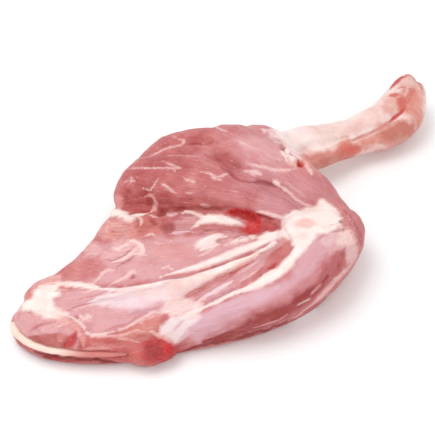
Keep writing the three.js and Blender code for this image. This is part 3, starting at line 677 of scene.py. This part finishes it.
def cloud(points, size, seed):
    """Smooth noise from -1 to 1 at each point, its lumps as wide as size. The large numbers mix the seed."""
    cell = points / size + seed * 7.31
    base = np.floor(cell).astype(np.int64)
    part = cell - base
    part = part * part * (3 - 2 * part)
    total = np.zeros(len(points))
    for corner in range(8):
        step = np.array([corner & 1, corner >> 1 & 1, corner >> 2 & 1])
        key = (base + step) @ np.array([73856093, 19349663, 83492791]) + seed * 1013904223
        key = (key ^ (key >> 13)) * 1274126177 & 0x7FFFFFFF
        key = (key ^ (key >> 15)) * 668265263 & 0x7FFFFFFF
        total += ((key >> 8 & 0xFFFF) / 32767.5 - 1) * np.prod(np.where(step, part, 1 - part), axis=1)
    return total


def nearest(points, line):
    """For each point the index of the closest point of a line, and the distance."""
    best = np.full(len(points), 1e9)
    which = np.zeros(len(points), int)
    for index, spot in enumerate(line):
        gap = ((points - spot) ** 2).sum(1)
        closer = gap < best
        best[closer], which[closer] = gap[closer], index
    return which, np.sqrt(best)


def along(points, line):
    """Where points lie by a line: the way along it, the two offsets across it, and the distance."""
    track = curve(line, LINE_STEP)
    which, gap = nearest(points, track)
    heading = np.gradient(track, axis=0)
    heading /= np.linalg.norm(heading, axis=1)[:, None]
    way = np.concatenate([[0], np.cumsum(np.linalg.norm(np.diff(track, axis=0), axis=1))])
    offset = points - track[which]
    ahead = (offset * heading[which]).sum(1)
    side = np.cross(heading[which], (0, 0, 1.0))
    return way[which] + ahead, (offset * side).sum(1), offset[:, 2], gap


def picture(points):
    """Where points in metres come in the picture, in pixels."""
    away = points - CAMERA_PLACE
    scale = FOCAL / (away @ FORWARD)
    return np.stack([PICTURE[0] / 2 + scale * away[:, 0], PICTURE[1] / 2 - scale * (away @ UPWARD)], 1)


# ---------------------------------------------------------------- meshes


def copy_of(node, name):
    """A welded copy of a node's mesh as a new object of its own."""
    mesh = node.data.copy()
    mesh.name = name
    mesh.materials.clear()
    shape = bmesh.new()
    shape.from_mesh(mesh)
    bmesh.ops.remove_doubles(shape, verts=shape.verts, dist=0.01 * MM)
    shape.to_mesh(mesh)
    shape.free()
    made = bpy.data.objects.new(name, mesh)
    bpy.context.scene.collection.objects.link(made)
    return made


def evened(made, grain):
    """Gives the object an even mesh of small faces, and takes the modifier off again."""
    even = made.modifiers.new("Even mesh", "REMESH")
    even.mode = "VOXEL"
    even.voxel_size = grain
    even.use_smooth_shade = True
    mesh = bpy.data.meshes.new_from_object(made.evaluated_get(bpy.context.evaluated_depsgraph_get()))
    made.modifiers.clear()
    made.data = mesh
    if not mesh.polygons:
        raise RuntimeError(f"{made.name} has no faces after its mesh was evened")
    return made


class Surface:
    """A mesh that is being shaped and painted: its points in mm, and one value a point for each tissue."""

    def __init__(self, made):
        self.mesh = made.data
        self.count = len(self.mesh.vertices)
        ends = np.zeros(len(self.mesh.edges) * 2, np.int32)
        self.mesh.edges.foreach_get("vertices", ends)
        self.ends = ends.reshape(-1, 2)
        self.links = np.maximum(np.bincount(ends, minlength=self.count), 1)[:, None]
        self.fields = {name: np.zeros(self.count) for name in TISSUES}
        self.lift = np.zeros(self.count)
        self.kept = {}
        self.read()

    def read(self):
        """Takes the points and normals from the mesh."""
        flat = np.zeros(self.count * 3, np.float32)
        self.mesh.vertices.foreach_get("co", flat)
        self.points = flat.reshape(-1, 3).astype(float) / MM
        self.mesh.vertex_normals.foreach_get("vector", flat)
        self.normals = flat.reshape(-1, 3).astype(float)

    def write(self):
        """Puts the points back into the mesh."""
        self.mesh.vertices.foreach_set("co", (self.points * MM).astype(np.float32).ravel())
        self.mesh.update()
        self.read()

    def mean(self, values):
        """Each point's mean of its neighbours' values."""
        total = np.zeros_like(values)
        for column in range(values.shape[1]):
            for here, there in (self.ends.T, self.ends.T[::-1]):
                total[:, column] += np.bincount(here, values[there, column], self.count)
        return total / self.links

    def soften(self, passes):
        """Rounds the creases and keeps the volume."""
        for step in range(passes):
            self.points += (self.mean(self.points) - self.points) * 0.6
            self.points -= (self.mean(self.points) - self.points) * (0.45 if step % 2 else 0.6)
        self.write()

    def even(self, values, passes):
        """Spreads one value a point over its neighbours."""
        values = values[:, None]
        for _ in range(passes):
            values = values * 0.4 + self.mean(values) * 0.6
        return values[:, 0]

    def look(self):
        """Finds what the camera sees of the surface, and where in the picture."""
        polygons = [tuple(face.vertices) for face in self.mesh.polygons]
        self.tree = BVHTree.FromPolygons([tuple(p) for p in self.points * MM], polygons)
        self.pixels = picture(self.points * MM)
        self.ragged = 0.7 * cloud(self.points, *RAGGED_WIDE) + 0.6 * cloud(self.points, *RAGGED_FINE)
        away = CAMERA_PLACE - self.points * MM
        away /= np.linalg.norm(away, axis=1)[:, None]
        clear = np.zeros(self.count)
        for index in np.nonzero((away * self.normals).sum(1) > 0)[0]:
            start = Vector(self.points[index] * MM + self.normals[index] * 0.8 * MM)
            clear[index] = self.tree.ray_cast(start, Vector(away[index]))[0] is None
        self.seen = np.maximum(self.even(clear, 2), smooth(self.even(clear, 9), 0.1, 0.6))

    def spot(self, pixel):
        """The point of the surface under a picture point, or the nearest one that the surface fills."""
        for ring in range(SEARCH_RINGS):
            for turn in np.linspace(0, math.tau, SEARCH_TURNS if ring else 1, endpoint=False):
                right = pixel[0] + ring * math.cos(turn) - PICTURE[0] / 2
                down = pixel[1] + ring * math.sin(turn) - PICTURE[1] / 2
                ray = FORWARD + np.array((right / FOCAL, 0, 0)) - UPWARD * down / FOCAL
                found = self.tree.ray_cast(Vector(CAMERA_PLACE), Vector(ray))[0]
                if found is not None:
                    return np.array(found) / MM
        raise RuntimeError(f"no surface under the picture point {tuple(pixel)}")

    def wash(self, mask, height, tissues, name):
        """Turns the surface into the given tissues where the mask says, and lifts it."""
        if not mask.any():
            raise RuntimeError(f"{name} doesn't touch the surface")
        for name, value in tissues.items():
            self.fields[name] += (value - self.fields[name]) * mask
        self.lift += height * mask

    def draw_mark(self, name, half, height, path, rough, tissues):
        track = curve([(*point, 1.0)[:3] for point in path], 1.0)
        line = np.array([self.spot(pixel) for pixel in track[:, :2]])
        low, high = line.min(0) - half * MARK_REACH, line.max(0) + half * MARK_REACH
        near = np.nonzero(((self.points > low) & (self.points < high)).all(1))[0]
        which, gap = nearest(self.points[near], line)
        way = which / (len(line) - 1)
        thin = np.sqrt(np.clip(np.minimum(way, 1 - way) / MARK_TAPER, MARK_THINNEST, 1))
        width = half * thin * track[which, 2] * (1 + rough * self.ragged[near])
        mask = np.zeros(self.count)
        mask[near] = 1 - smooth(gap / width, *MARK_EDGE)
        self.wash(mask, height, tissues, name)

    def draw_patch(self, name, centre, radii, turn, height, tissues):
        x, y = ((self.pixels - centre) * (1, -1)).T
        c, s = math.cos(math.radians(turn)), math.sin(math.radians(turn))
        reach = np.hypot((x * c + y * s) / radii[0], (y * c - x * s) / radii[1]) + PATCH_RAGGED * self.ragged
        self.wash((1 - smooth(reach, *PATCH_EDGE)) * self.seen, height, tissues, name)

    def draw_area(self, name, outline, soft, height, tissues):
        corners = np.array(outline, float)
        x, y = self.pixels.T
        inside = np.zeros(self.count, bool)
        gap = np.full(self.count, 1e9)
        for a, b in zip(corners, np.roll(corners, -1, axis=0)):
            crosses = (a[1] > y) != (b[1] > y)
            inside ^= crosses & (x < (b[0] - a[0]) * (y - a[1]) / (b[1] - a[1] + 1e-9) + a[0])
            t = np.clip(((self.pixels - a) @ (b - a)) / ((b - a) @ (b - a)), 0, 1)
            gap = np.minimum(gap, np.linalg.norm(self.pixels - a - t[:, None] * (b - a), axis=1))
        deep = np.where(inside, gap, -gap) + (1 + AREA_RAGGED * soft) * self.ragged
        self.wash(smooth(deep, -soft / 2, soft / 2) * self.seen, height, tissues, name)

    def keep(self, name, values):
        """Stores values on the mesh for the material."""
        kind, field = ("FLOAT_VECTOR", "vector") if values.ndim == 2 else ("FLOAT", "value")
        stored = self.mesh.attributes.new(name, kind, "POINT")
        stored.data.foreach_set(field, values.astype(np.float32).ravel())
        self.kept[name] = values


# ---------------------------------------------------------------- materials


class Board:
    """Places nodes in a node tree and joins them."""

    def __init__(self, tree):
        self.tree = tree
        tree.nodes.clear()

    def node(self, kind, inputs=(), **settings):
        made = self.tree.nodes.new(kind)
        for name, value in settings.items():
            setattr(made, name, value)
        for name, value in dict(inputs).items():
            if isinstance(value, bpy.types.NodeSocket):
                self.tree.links.new(value, made.inputs[name])
            else:
                made.inputs[name].default_value = value
        return made

    def value(self, name):
        return self.node("ShaderNodeAttribute", attribute_name=name).outputs["Fac"]

    def vector(self, name):
        return self.node("ShaderNodeAttribute", attribute_name=name).outputs["Vector"]

    def math(self, operation, a, b=0.0, c=0.0):
        return self.node("ShaderNodeMath", {0: a, 1: b, 2: c}, operation=operation).outputs[0]

    def times(self, a, b, added=0.0):
        return self.math("MULTIPLY_ADD", a, b, added)

    def clamp(self, value):
        return self.node("ShaderNodeClamp", {"Value": value}).outputs[0]

    def noise(self, vector, scale, detail=3.0, roughness=0.55):
        inputs = {"Vector": vector, "Scale": scale, "Detail": detail, "Roughness": roughness}
        return self.node("ShaderNodeTexNoise", inputs).outputs["Fac"]

    def spread(self, value, low, high, to_low=0.0, to_high=1.0, kind="LINEAR"):
        inputs = {"Value": value, "From Min": low, "From Max": high, "To Min": to_low, "To Max": to_high}
        return self.node("ShaderNodeMapRange", inputs, interpolation_type=kind).outputs["Result"]

    def mix(self, factor, a, b):
        return self.node("ShaderNodeMix", {0: factor, 2: a, 3: b}).outputs[0]

    def blend(self, factor, a, b):
        inputs = {0: factor, 6: opaque(a), 7: opaque(b)}
        return self.node("ShaderNodeMix", inputs, data_type="RGBA").outputs[2]

    def group(self, tree, **inputs):
        return self.node("ShaderNodeGroup", inputs, node_tree=tree).outputs[0]

    def fibres(self, tree, along, length, width, detail=3.0):
        return self.group(tree, Along=along, Length=length, Width=width, Detail=detail)

    def broken(self, tree, mask, pattern, strength):
        return self.group(tree, Mask=mask, Break=pattern, Strength=strength)


def opaque(value):
    """A colour with its alpha, or a socket as it is."""
    return value if isinstance(value, bpy.types.NodeSocket) else (*value, 1.0)


def new_group(name, output, vectors=(), **numbers):
    """A node group with inputs for vectors and for numbers, which have defaults."""
    tree = bpy.data.node_groups.new(name, "ShaderNodeTree")
    for label in vectors:
        tree.interface.new_socket(label, in_out="INPUT", socket_type="NodeSocketVector")
    for label, default in numbers.items():
        socket = tree.interface.new_socket(label, in_out="INPUT", socket_type="NodeSocketFloat")
        socket.default_value = default
    tree.interface.new_socket(output, in_out="OUTPUT", socket_type="NodeSocketFloat")
    board = Board(tree)
    return tree, board, board.node("NodeGroupInput").outputs, board.node("NodeGroupOutput").inputs[0]


def fibre_group():
    """Streaks along the first coordinate of a vector in mm."""
    tree, board, given, out = new_group(
        "Fibre streaks", "Streaks", ("Along",), Length=20.0, Width=1.5, Detail=3.0
    )
    parts = board.node("ShaderNodeSeparateXYZ", {"Vector": given["Along"]}).outputs
    scaled = {
        axis: board.math("DIVIDE", parts[axis], given[size])
        for axis, size in (("X", "Length"), ("Y", "Width"), ("Z", "Width"))
    }
    vector = board.node("ShaderNodeCombineXYZ", scaled).outputs[0]
    tree.links.new(board.spread(board.noise(vector, 1.0, given["Detail"], 0.6), 0.3, 0.7), out)
    return tree


def broken_group():
    """A mask with its half-covered places broken up by a pattern."""
    tree, board, given, out = new_group("Broken cover", "Mask", Mask=0.0, Break=0.5, Strength=0.5)
    half = board.math("MULTIPLY", given["Mask"], board.math("SUBTRACT", 1.0, given["Mask"]))
    push = board.math("MULTIPLY", board.math("SUBTRACT", given["Break"], 0.5), given["Strength"])
    total = board.times(board.math("MULTIPLY", push, half), 4.0, given["Mask"])
    tree.links.new(board.spread(total, 0.02, 0.98), out)
    return tree


def wet_surface(board, base, roughness, height, radius, distance):
    """The shader of moist flesh, with its colour, roughness and relief."""
    bump = board.node("ShaderNodeBump", {"Height": height, "Strength": 0.8, "Distance": distance})
    inputs = {
        "Base Color": base,
        "Roughness": roughness,
        "Normal": bump.outputs["Normal"],
        "Subsurface Weight": 0.22,
        "Subsurface Radius": radius,
        "Subsurface Scale": 0.004,
        "Coat Weight": 0.05,
        "Coat Roughness": 0.28,
        "Specular IOR Level": 0.2,
    }
    shader = board.node("ShaderNodeBsdfPrincipled", inputs)
    board.node("ShaderNodeOutputMaterial", {"Surface": shader.outputs["BSDF"]})


def new_finish(name):
    finish = bpy.data.materials.new(name)
    finish.use_nodes = True
    board = Board(finish.node_tree)
    return finish, board, board.node("ShaderNodeTexCoord").outputs["Object"]


def meat_material(colours, fibres, broken):
    finish, board, place = new_finish("raw_meat")
    value = {name: board.value(name) for name in (*TISSUES, "front", "shank")}
    ways = [board.vector(name) for name in ("grain_fan", "grain_front", "grain_shank")]

    def streaks(*size):
        fan, front, shank = (board.fibres(fibres, way, *size) for way in ways)
        return board.mix(value["shank"], board.mix(value["front"], fan, front), shank)

    def shifted(field, *parts):
        """A tissue, pushed up and down by patterns."""
        total = value[field]
        for pattern, strength in parts:
            total = board.times(board.math("SUBTRACT", pattern, 0.5), strength, total)
        return board.clamp(total)

    coarse, fine = streaks(*COARSE_FIBRE), streaks(*FINE_FIBRE)
    mottle = board.spread(board.noise(place, MOTTLE, 4.0), 0.32, 0.68)
    speck = board.spread(board.noise(place, SPECK, 3.0, 0.65), 0.3, 0.7)
    fleck = board.spread(streaks(*FLECK), 0.72, 1.0)
    streaked = board.spread(streaks(*FAT_STREAK), 0.45, 1.0)

    # muscle, soft tissue and silverskin
    tone = shifted("tone", (coarse, 0.2), (fine, 0.12), (mottle, 0.24))
    # Low tone gives dark muscle and also painted shade in folds, creases, hollows and on faces turned down;
    # high tone gives pale muscle and also a painted highlight on the tops.
    base = board.blend(board.spread(tone, 0.0, 0.45), colours.muscle_dark, colours.muscle)
    base = board.blend(board.spread(tone, 0.45, 1.0), base, colours.muscle_pale)
    base = board.blend(shifted("warm", (mottle, 0.2)), base, colours.warm)
    silver = board.math("MULTIPLY", value["silver"], board.spread(coarse, 0.0, 1.0, 0.7, 1.15))
    base = board.blend(board.clamp(silver), base, colours.silverskin)

    # film, also around the fat
    edge = board.math("MULTIPLY", value["fat"], board.math("SUBTRACT", 1.0, value["fat"]))
    film = board.clamp(board.times(edge, 0.9, board.times(fleck, 0.32, value["film"])))
    film = board.broken(broken, film, fine, 0.9)
    base = board.blend(board.math("MULTIPLY", film, 0.64), base, colours.film)

    # fat
    pattern = board.times(fine, 0.4, board.times(speck, 0.3, board.math("MULTIPLY", mottle, 0.3)))
    raggedness = board.spread(value["silver"], 0.0, 0.7, 0.9, 0.3)
    fat = board.broken(broken, value["fat"], pattern, raggedness)
    cream = board.blend(board.math("MULTIPLY", value["silver"], 0.8), colours.fat, colours.fat_lilac)
    cream = board.blend(board.math("MULTIPLY", mottle, 0.2), cream, colours.fat_pink)
    cream = board.blend(board.math("MULTIPLY", streaked, 0.24), cream, colours.fat_streak)
    cream = board.blend(shifted("warm", (mottle, 0.28), (speck, 0.12)), cream, colours.fat_warm)
    base = board.blend(board.math("MULTIPLY", fat, 0.95), base, cream)

    # blood, and the dark: the meat's own dark spots and painted shade in slits, cracks, holes and creases
    blood = board.broken(broken, value["blood"], speck, 0.4)
    red = board.blend(board.spread(speck, 0.4, 0.95, 0.0, 0.85), colours.blood, colours.blood_light)
    base = board.blend(board.math("MULTIPLY", blood, 0.92), base, red)
    base = board.blend(value["dark"], base, colours.crevice)

    rough = board.spread(fat, 0.0, 1.0, 0.52, 0.44)
    rough = board.math("SUBTRACT", rough, board.math("MULTIPLY", value["silver"], 0.12))
    height = board.times(fine, 0.5, board.math("MULTIPLY", coarse, 0.5))
    height = board.math("MULTIPLY", height, board.spread(fat, 0.0, 1.0, 1.0, 0.25))
    wet_surface(board, base, rough, board.times(speck, 0.6, height), MEAT_GLOW, 0.35 * MM)
    return finish


def gristle_material(colours, fibres, broken):
    finish, board, place = new_finish("gristle")
    flush = board.spread(board.noise(place, FLUSH, 4.0), 0.35, 0.7)
    along = board.node("ShaderNodeVectorMath", {0: place, 1: [1 / MM] * 3}, operation="MULTIPLY").outputs[0]
    grain = board.fibres(fibres, along, *GRISTLE_STREAK)
    pink = board.broken(broken, board.math("MULTIPLY", flush, 0.7), grain, 0.5)
    base = board.blend(board.math("MULTIPLY", pink, 0.45), colours.gristle, colours.gristle_pink)
    base = board.blend(board.value("buried"), base, colours.gristle_red)
    wet_surface(board, base, board.spread(grain, 0.0, 1.0, 0.38, 0.5), grain, GRISTLE_GLOW, 0.2 * MM)
    return finish


# ---------------------------------------------------------------- the pieces


def lay_grain(skin):
    """Stores the way that the fibres run, and where each way holds."""
    x, y, z = skin.points.T
    across, back = x - FAN_CENTRE[0], y - FAN_CENTRE[1]
    skin.keep("grain_fan", np.stack([np.hypot(across, back), np.arctan2(back, -across) * FAN_SPREAD, z], 1))
    *ways, gap = along(skin.points, FRONT_LINE)
    skin.keep("grain_front", np.stack(ways, 1))
    skin.keep("front", 1 - smooth(gap, *FRONT_FADE))
    *ways, gap = along(skin.points, SHANK_LINE)
    skin.keep("grain_shank", np.stack(ways, 1))
    skin.shank_way = ways[0]
    reach = SHANK_REACH + SHANK_WIDENS * np.maximum(skin.shank_way - SHANK_BARE, 0)
    skin.shank = smooth(skin.shank_way, *SHANK_START) * smooth(reach - gap, *SHANK_EDGE)
    skin.keep("shank", skin.shank)


def paint(skin):
    """Gives every point its tissues: first what covers all sides, then what shows from the front."""
    points, fields, hidden = skin.points, skin.fields, 1 - skin.seen
    veil = cloud(points, *VEIL_WIDE) + 0.5 * cloud(points, *VEIL_FINE)
    lard = cloud(points * (0.5, 1, 1), *FAT_WIDE) + 0.4 * cloud(points, *FAT_FINE)
    fields["tone"] += 0.5 + 0.1 * cloud(points, *TONE_WIDE) + 0.06 * cloud(points, *TONE_FINE)
    fields["silver"] += 0.5 * hidden * smooth(veil, 0.15, 0.8)
    fields["fat"] += 0.75 * hidden * smooth(lard, 0.42, 0.75)
    # Painted shade: the muscle's tone is darker where the surface faces down.
    fields["tone"] -= 0.12 * smooth(-skin.normals[:, 2], 0.2, 0.9)
    for draw, table in ((skin.draw_area, AREAS), (skin.draw_patch, PATCHES), (skin.draw_mark, MARKS)):
        for row in table:
            draw(**row)
    # Painted shade: the shank's skin turns red brown where it faces down.
    below = smooth(-skin.normals[:, 2], -0.1, 0.7)
    skin.wash(skin.shank, 0, SHANK_TISSUES, "shank")
    skin.wash(skin.shank * smooth(skin.shank_way, *SHANK_END), 0, dict(warm=0.66), "shank's end")
    skin.wash(skin.shank * below, 0, dict(fat=0.9, warm=0.95), "shank's underside")
    for draw, table in ((skin.draw_patch, SHANK_PATCHES), (skin.draw_mark, SHANK_MARKS)):
        for row in table:
            draw(**row)
    for name in TISSUES:
        skin.keep(name, np.clip(fields[name], 0, 1))


def relieve(skin, sizes):
    """Moves the surface: marks, fibres, soft lumps, crinkles in the fat, and the ragged foot."""
    points, height = skin.points, skin.points[:, 2]
    fan, front, share = (skin.kept[name] for name in ("grain_fan", "grain_front", "front"))
    fibres = cloud(fan / FIBRE_STRETCH, *FAN_FIBRES) * (1 - share)
    fibres += cloud(front / FIBRE_STRETCH, *FRONT_FIBRES) * share
    muscle = 1 - smooth(skin.fields["fat"], 0.3, 0.8)
    fatty = smooth(skin.fields["warm"], 0.12, 0.36) * muscle
    lumps = 0.5 * (cloud(points, *LUMPS_WIDE) + 0.5 * cloud(points, *LUMPS_FINE))
    lumps += fatty * (cloud(points, *FATTY_WIDE) + 0.5 * cloud(points, *FATTY_FINE))
    crinkles = cloud(points, *CRINKLES_FINE) + 0.6 * cloud(points, *CRINKLES_WIDE)
    foot = smooth(height, *FOOT_FROM) * (1 - smooth(height, *FOOT_TO)) * (1 - skin.shank)
    notches = foot * smooth(cloud(points * (1, 1, 0.3), *NOTCHES), -0.2, 0.7)
    move = fibres * (0.35 + 0.65 * muscle) * sizes.fibre_relief + lumps * sizes.lump_relief
    move += (1 - muscle) * crinkles * sizes.crinkle_relief - notches * sizes.edge_relief
    move = skin.even(skin.lift, 1) * sizes.mark_relief + move / MM
    skin.points += skin.normals * (move * smooth(height, *STILL_BELOW))[:, None]
    skin.write()


class SHOULDER_OT_meat(bpy.types.Operator):
    """Make the meat: an even soft mesh, its tissues and its relief"""

    bl_idname = "shoulder.meat"
    bl_label = "Make the meat"

    def execute(self, context):
        sizes, colours = context.scene.shoulder_sizes, context.scene.shoulder_colours
        made = evened(copy_of(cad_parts["shoulder_meat"], "goat_shoulder_meat"), sizes.grain)
        skin = Surface(made)
        skin.soften(sizes.softening)
        skin.look()
        lay_grain(skin)
        paint(skin)
        relieve(skin, sizes)
        made.data.materials.append(meat_material(colours, fibre_group(), broken_group()))
        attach(made, "root")
        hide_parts("shoulder_meat")
        return {"FINISHED"}


class SHOULDER_OT_blade(bpy.types.Operator):
    """Make the blade's pale edge, which shows along the rim of the meat"""

    bl_idname = "shoulder.blade"
    bl_label = "Make the blade edge"

    def execute(self, context):
        colours = context.scene.shoulder_colours
        made = evened(copy_of(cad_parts["shoulder_blade"], "blade_edge"), BLADE_GRAIN)
        skin = Surface(made)
        skin.soften(BLADE_SOFTENING)
        wide, fine = cloud(skin.points, *BLADE_WIDE), cloud(skin.points, *BLADE_FINE)
        skin.points += skin.normals * (BLADE_RELIEF[0] * wide + BLADE_RELIEF[1] * fine)[:, None]
        skin.write()
        skin.keep("buried", smooth(skin.points[:, 0], *BLADE_BURIED))
        groups = bpy.data.node_groups
        made.data.materials.append(gristle_material(colours, groups["Fibre streaks"], groups["Broken cover"]))
        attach(made, "root")
        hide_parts("shoulder_blade")
        return {"FINISHED"}


def soft_light(name, place, size, power):
    """A round soft light that points at the origin."""
    lamp = bpy.data.lights.new(name, "AREA")
    lamp.shape, lamp.size, lamp.energy = "DISK", size, power
    made = bpy.data.objects.new(name, lamp)
    made.location = place
    made.rotation_euler = (-Vector(place)).to_track_quat("-Z", "Y").to_euler()
    bpy.context.scene.collection.objects.link(made)


class SHOULDER_OT_stage(bpy.types.Operator):
    """Set the camera, the pale floor and the soft light"""

    bl_idname = "shoulder.stage"
    bl_label = "Set the stage"

    def execute(self, context):
        scene, stage = context.scene, context.scene.shoulder_stage
        scene.view_settings.view_transform = "Standard"
        camera = bpy.data.objects.new("Camera", bpy.data.cameras.new("Camera"))
        camera.data.lens, camera.data.sensor_width = CAMERA_LENS, CAMERA_SENSOR
        camera.location = CAMERA_PLACE
        camera.rotation_euler = (math.pi / 2 - CAMERA_RISE, 0, 0)
        camera.data.clip_start, camera.data.clip_end = CAMERA_CLIP
        scene.collection.objects.link(camera)
        scene.camera = camera

        mesh = bpy.data.meshes.new("floor")
        shape = bmesh.new()
        bmesh.ops.create_grid(shape, x_segments=1, y_segments=1, size=FLOOR_HALF)
        bmesh.ops.translate(shape, verts=shape.verts, vec=(0, 0, -FLOOR_DROP))
        shape.to_mesh(mesh)
        shape.free()
        floor = bpy.data.objects.new("floor", mesh)
        scene.collection.objects.link(floor)
        finish = bpy.data.materials.new("pale_floor")
        finish.use_nodes = True
        shader = finish.node_tree.nodes["Principled BSDF"]
        shader.inputs["Base Color"].default_value = opaque(stage.floor)
        shader.inputs["Roughness"].default_value = 0.9
        shader.inputs["Specular IOR Level"].default_value = 0.1
        mesh.materials.append(finish)

        world = bpy.data.worlds.new("soft room")
        world.use_nodes = True
        world.node_tree.nodes["Background"].inputs["Color"].default_value = (1, 1, 1, 1)
        world.node_tree.nodes["Background"].inputs["Strength"].default_value = stage.sky
        scene.world = world
        soft_light("key", KEY_PLACE, KEY_WIDTH, stage.key)
        soft_light("fill", FILL_PLACE, FILL_WIDTH, stage.fill)
        return {"FINISHED"}


class SHOULDER_PT_panel(bpy.types.Panel):
    """The shoulder's pieces and their sizes and colours"""

    bl_idname = "SHOULDER_PT_panel"
    bl_label = "Goat shoulder"
    bl_space_type = "VIEW_3D"
    bl_region_type = "UI"
    bl_category = "Goat shoulder"

    def draw(self, context):
        for operator in OPERATORS:
            self.layout.operator(operator.bl_idname)
        for owner, group in GROUPS.items():
            box = self.layout.box()
            for name in group.__annotations__:
                box.prop(getattr(context.scene, owner), name)


OPERATORS = (SHOULDER_OT_meat, SHOULDER_OT_blade, SHOULDER_OT_stage)
GROUPS = {
    "shoulder_sizes": ShoulderSizes,
    "shoulder_colours": ShoulderColours,
    "shoulder_stage": ShoulderStage,
}


def register():
    for one in (*GROUPS.values(), *OPERATORS, SHOULDER_PT_panel):
        bpy.utils.register_class(one)
    for name, group in GROUPS.items():
        setattr(bpy.types.Scene, name, bpy.props.PointerProperty(type=group))


def unregister():
    for name in GROUPS:
        delattr(bpy.types.Scene, name)
    for one in reversed((*GROUPS.values(), *OPERATORS, SHOULDER_PT_panel)):
        bpy.utils.unregister_class(one)


def main():
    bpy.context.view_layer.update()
    register()
    bpy.ops.shoulder.meat()
    bpy.ops.shoulder.blade()
    bpy.ops.shoulder.stage()


if __name__ == "__main__":
    main()
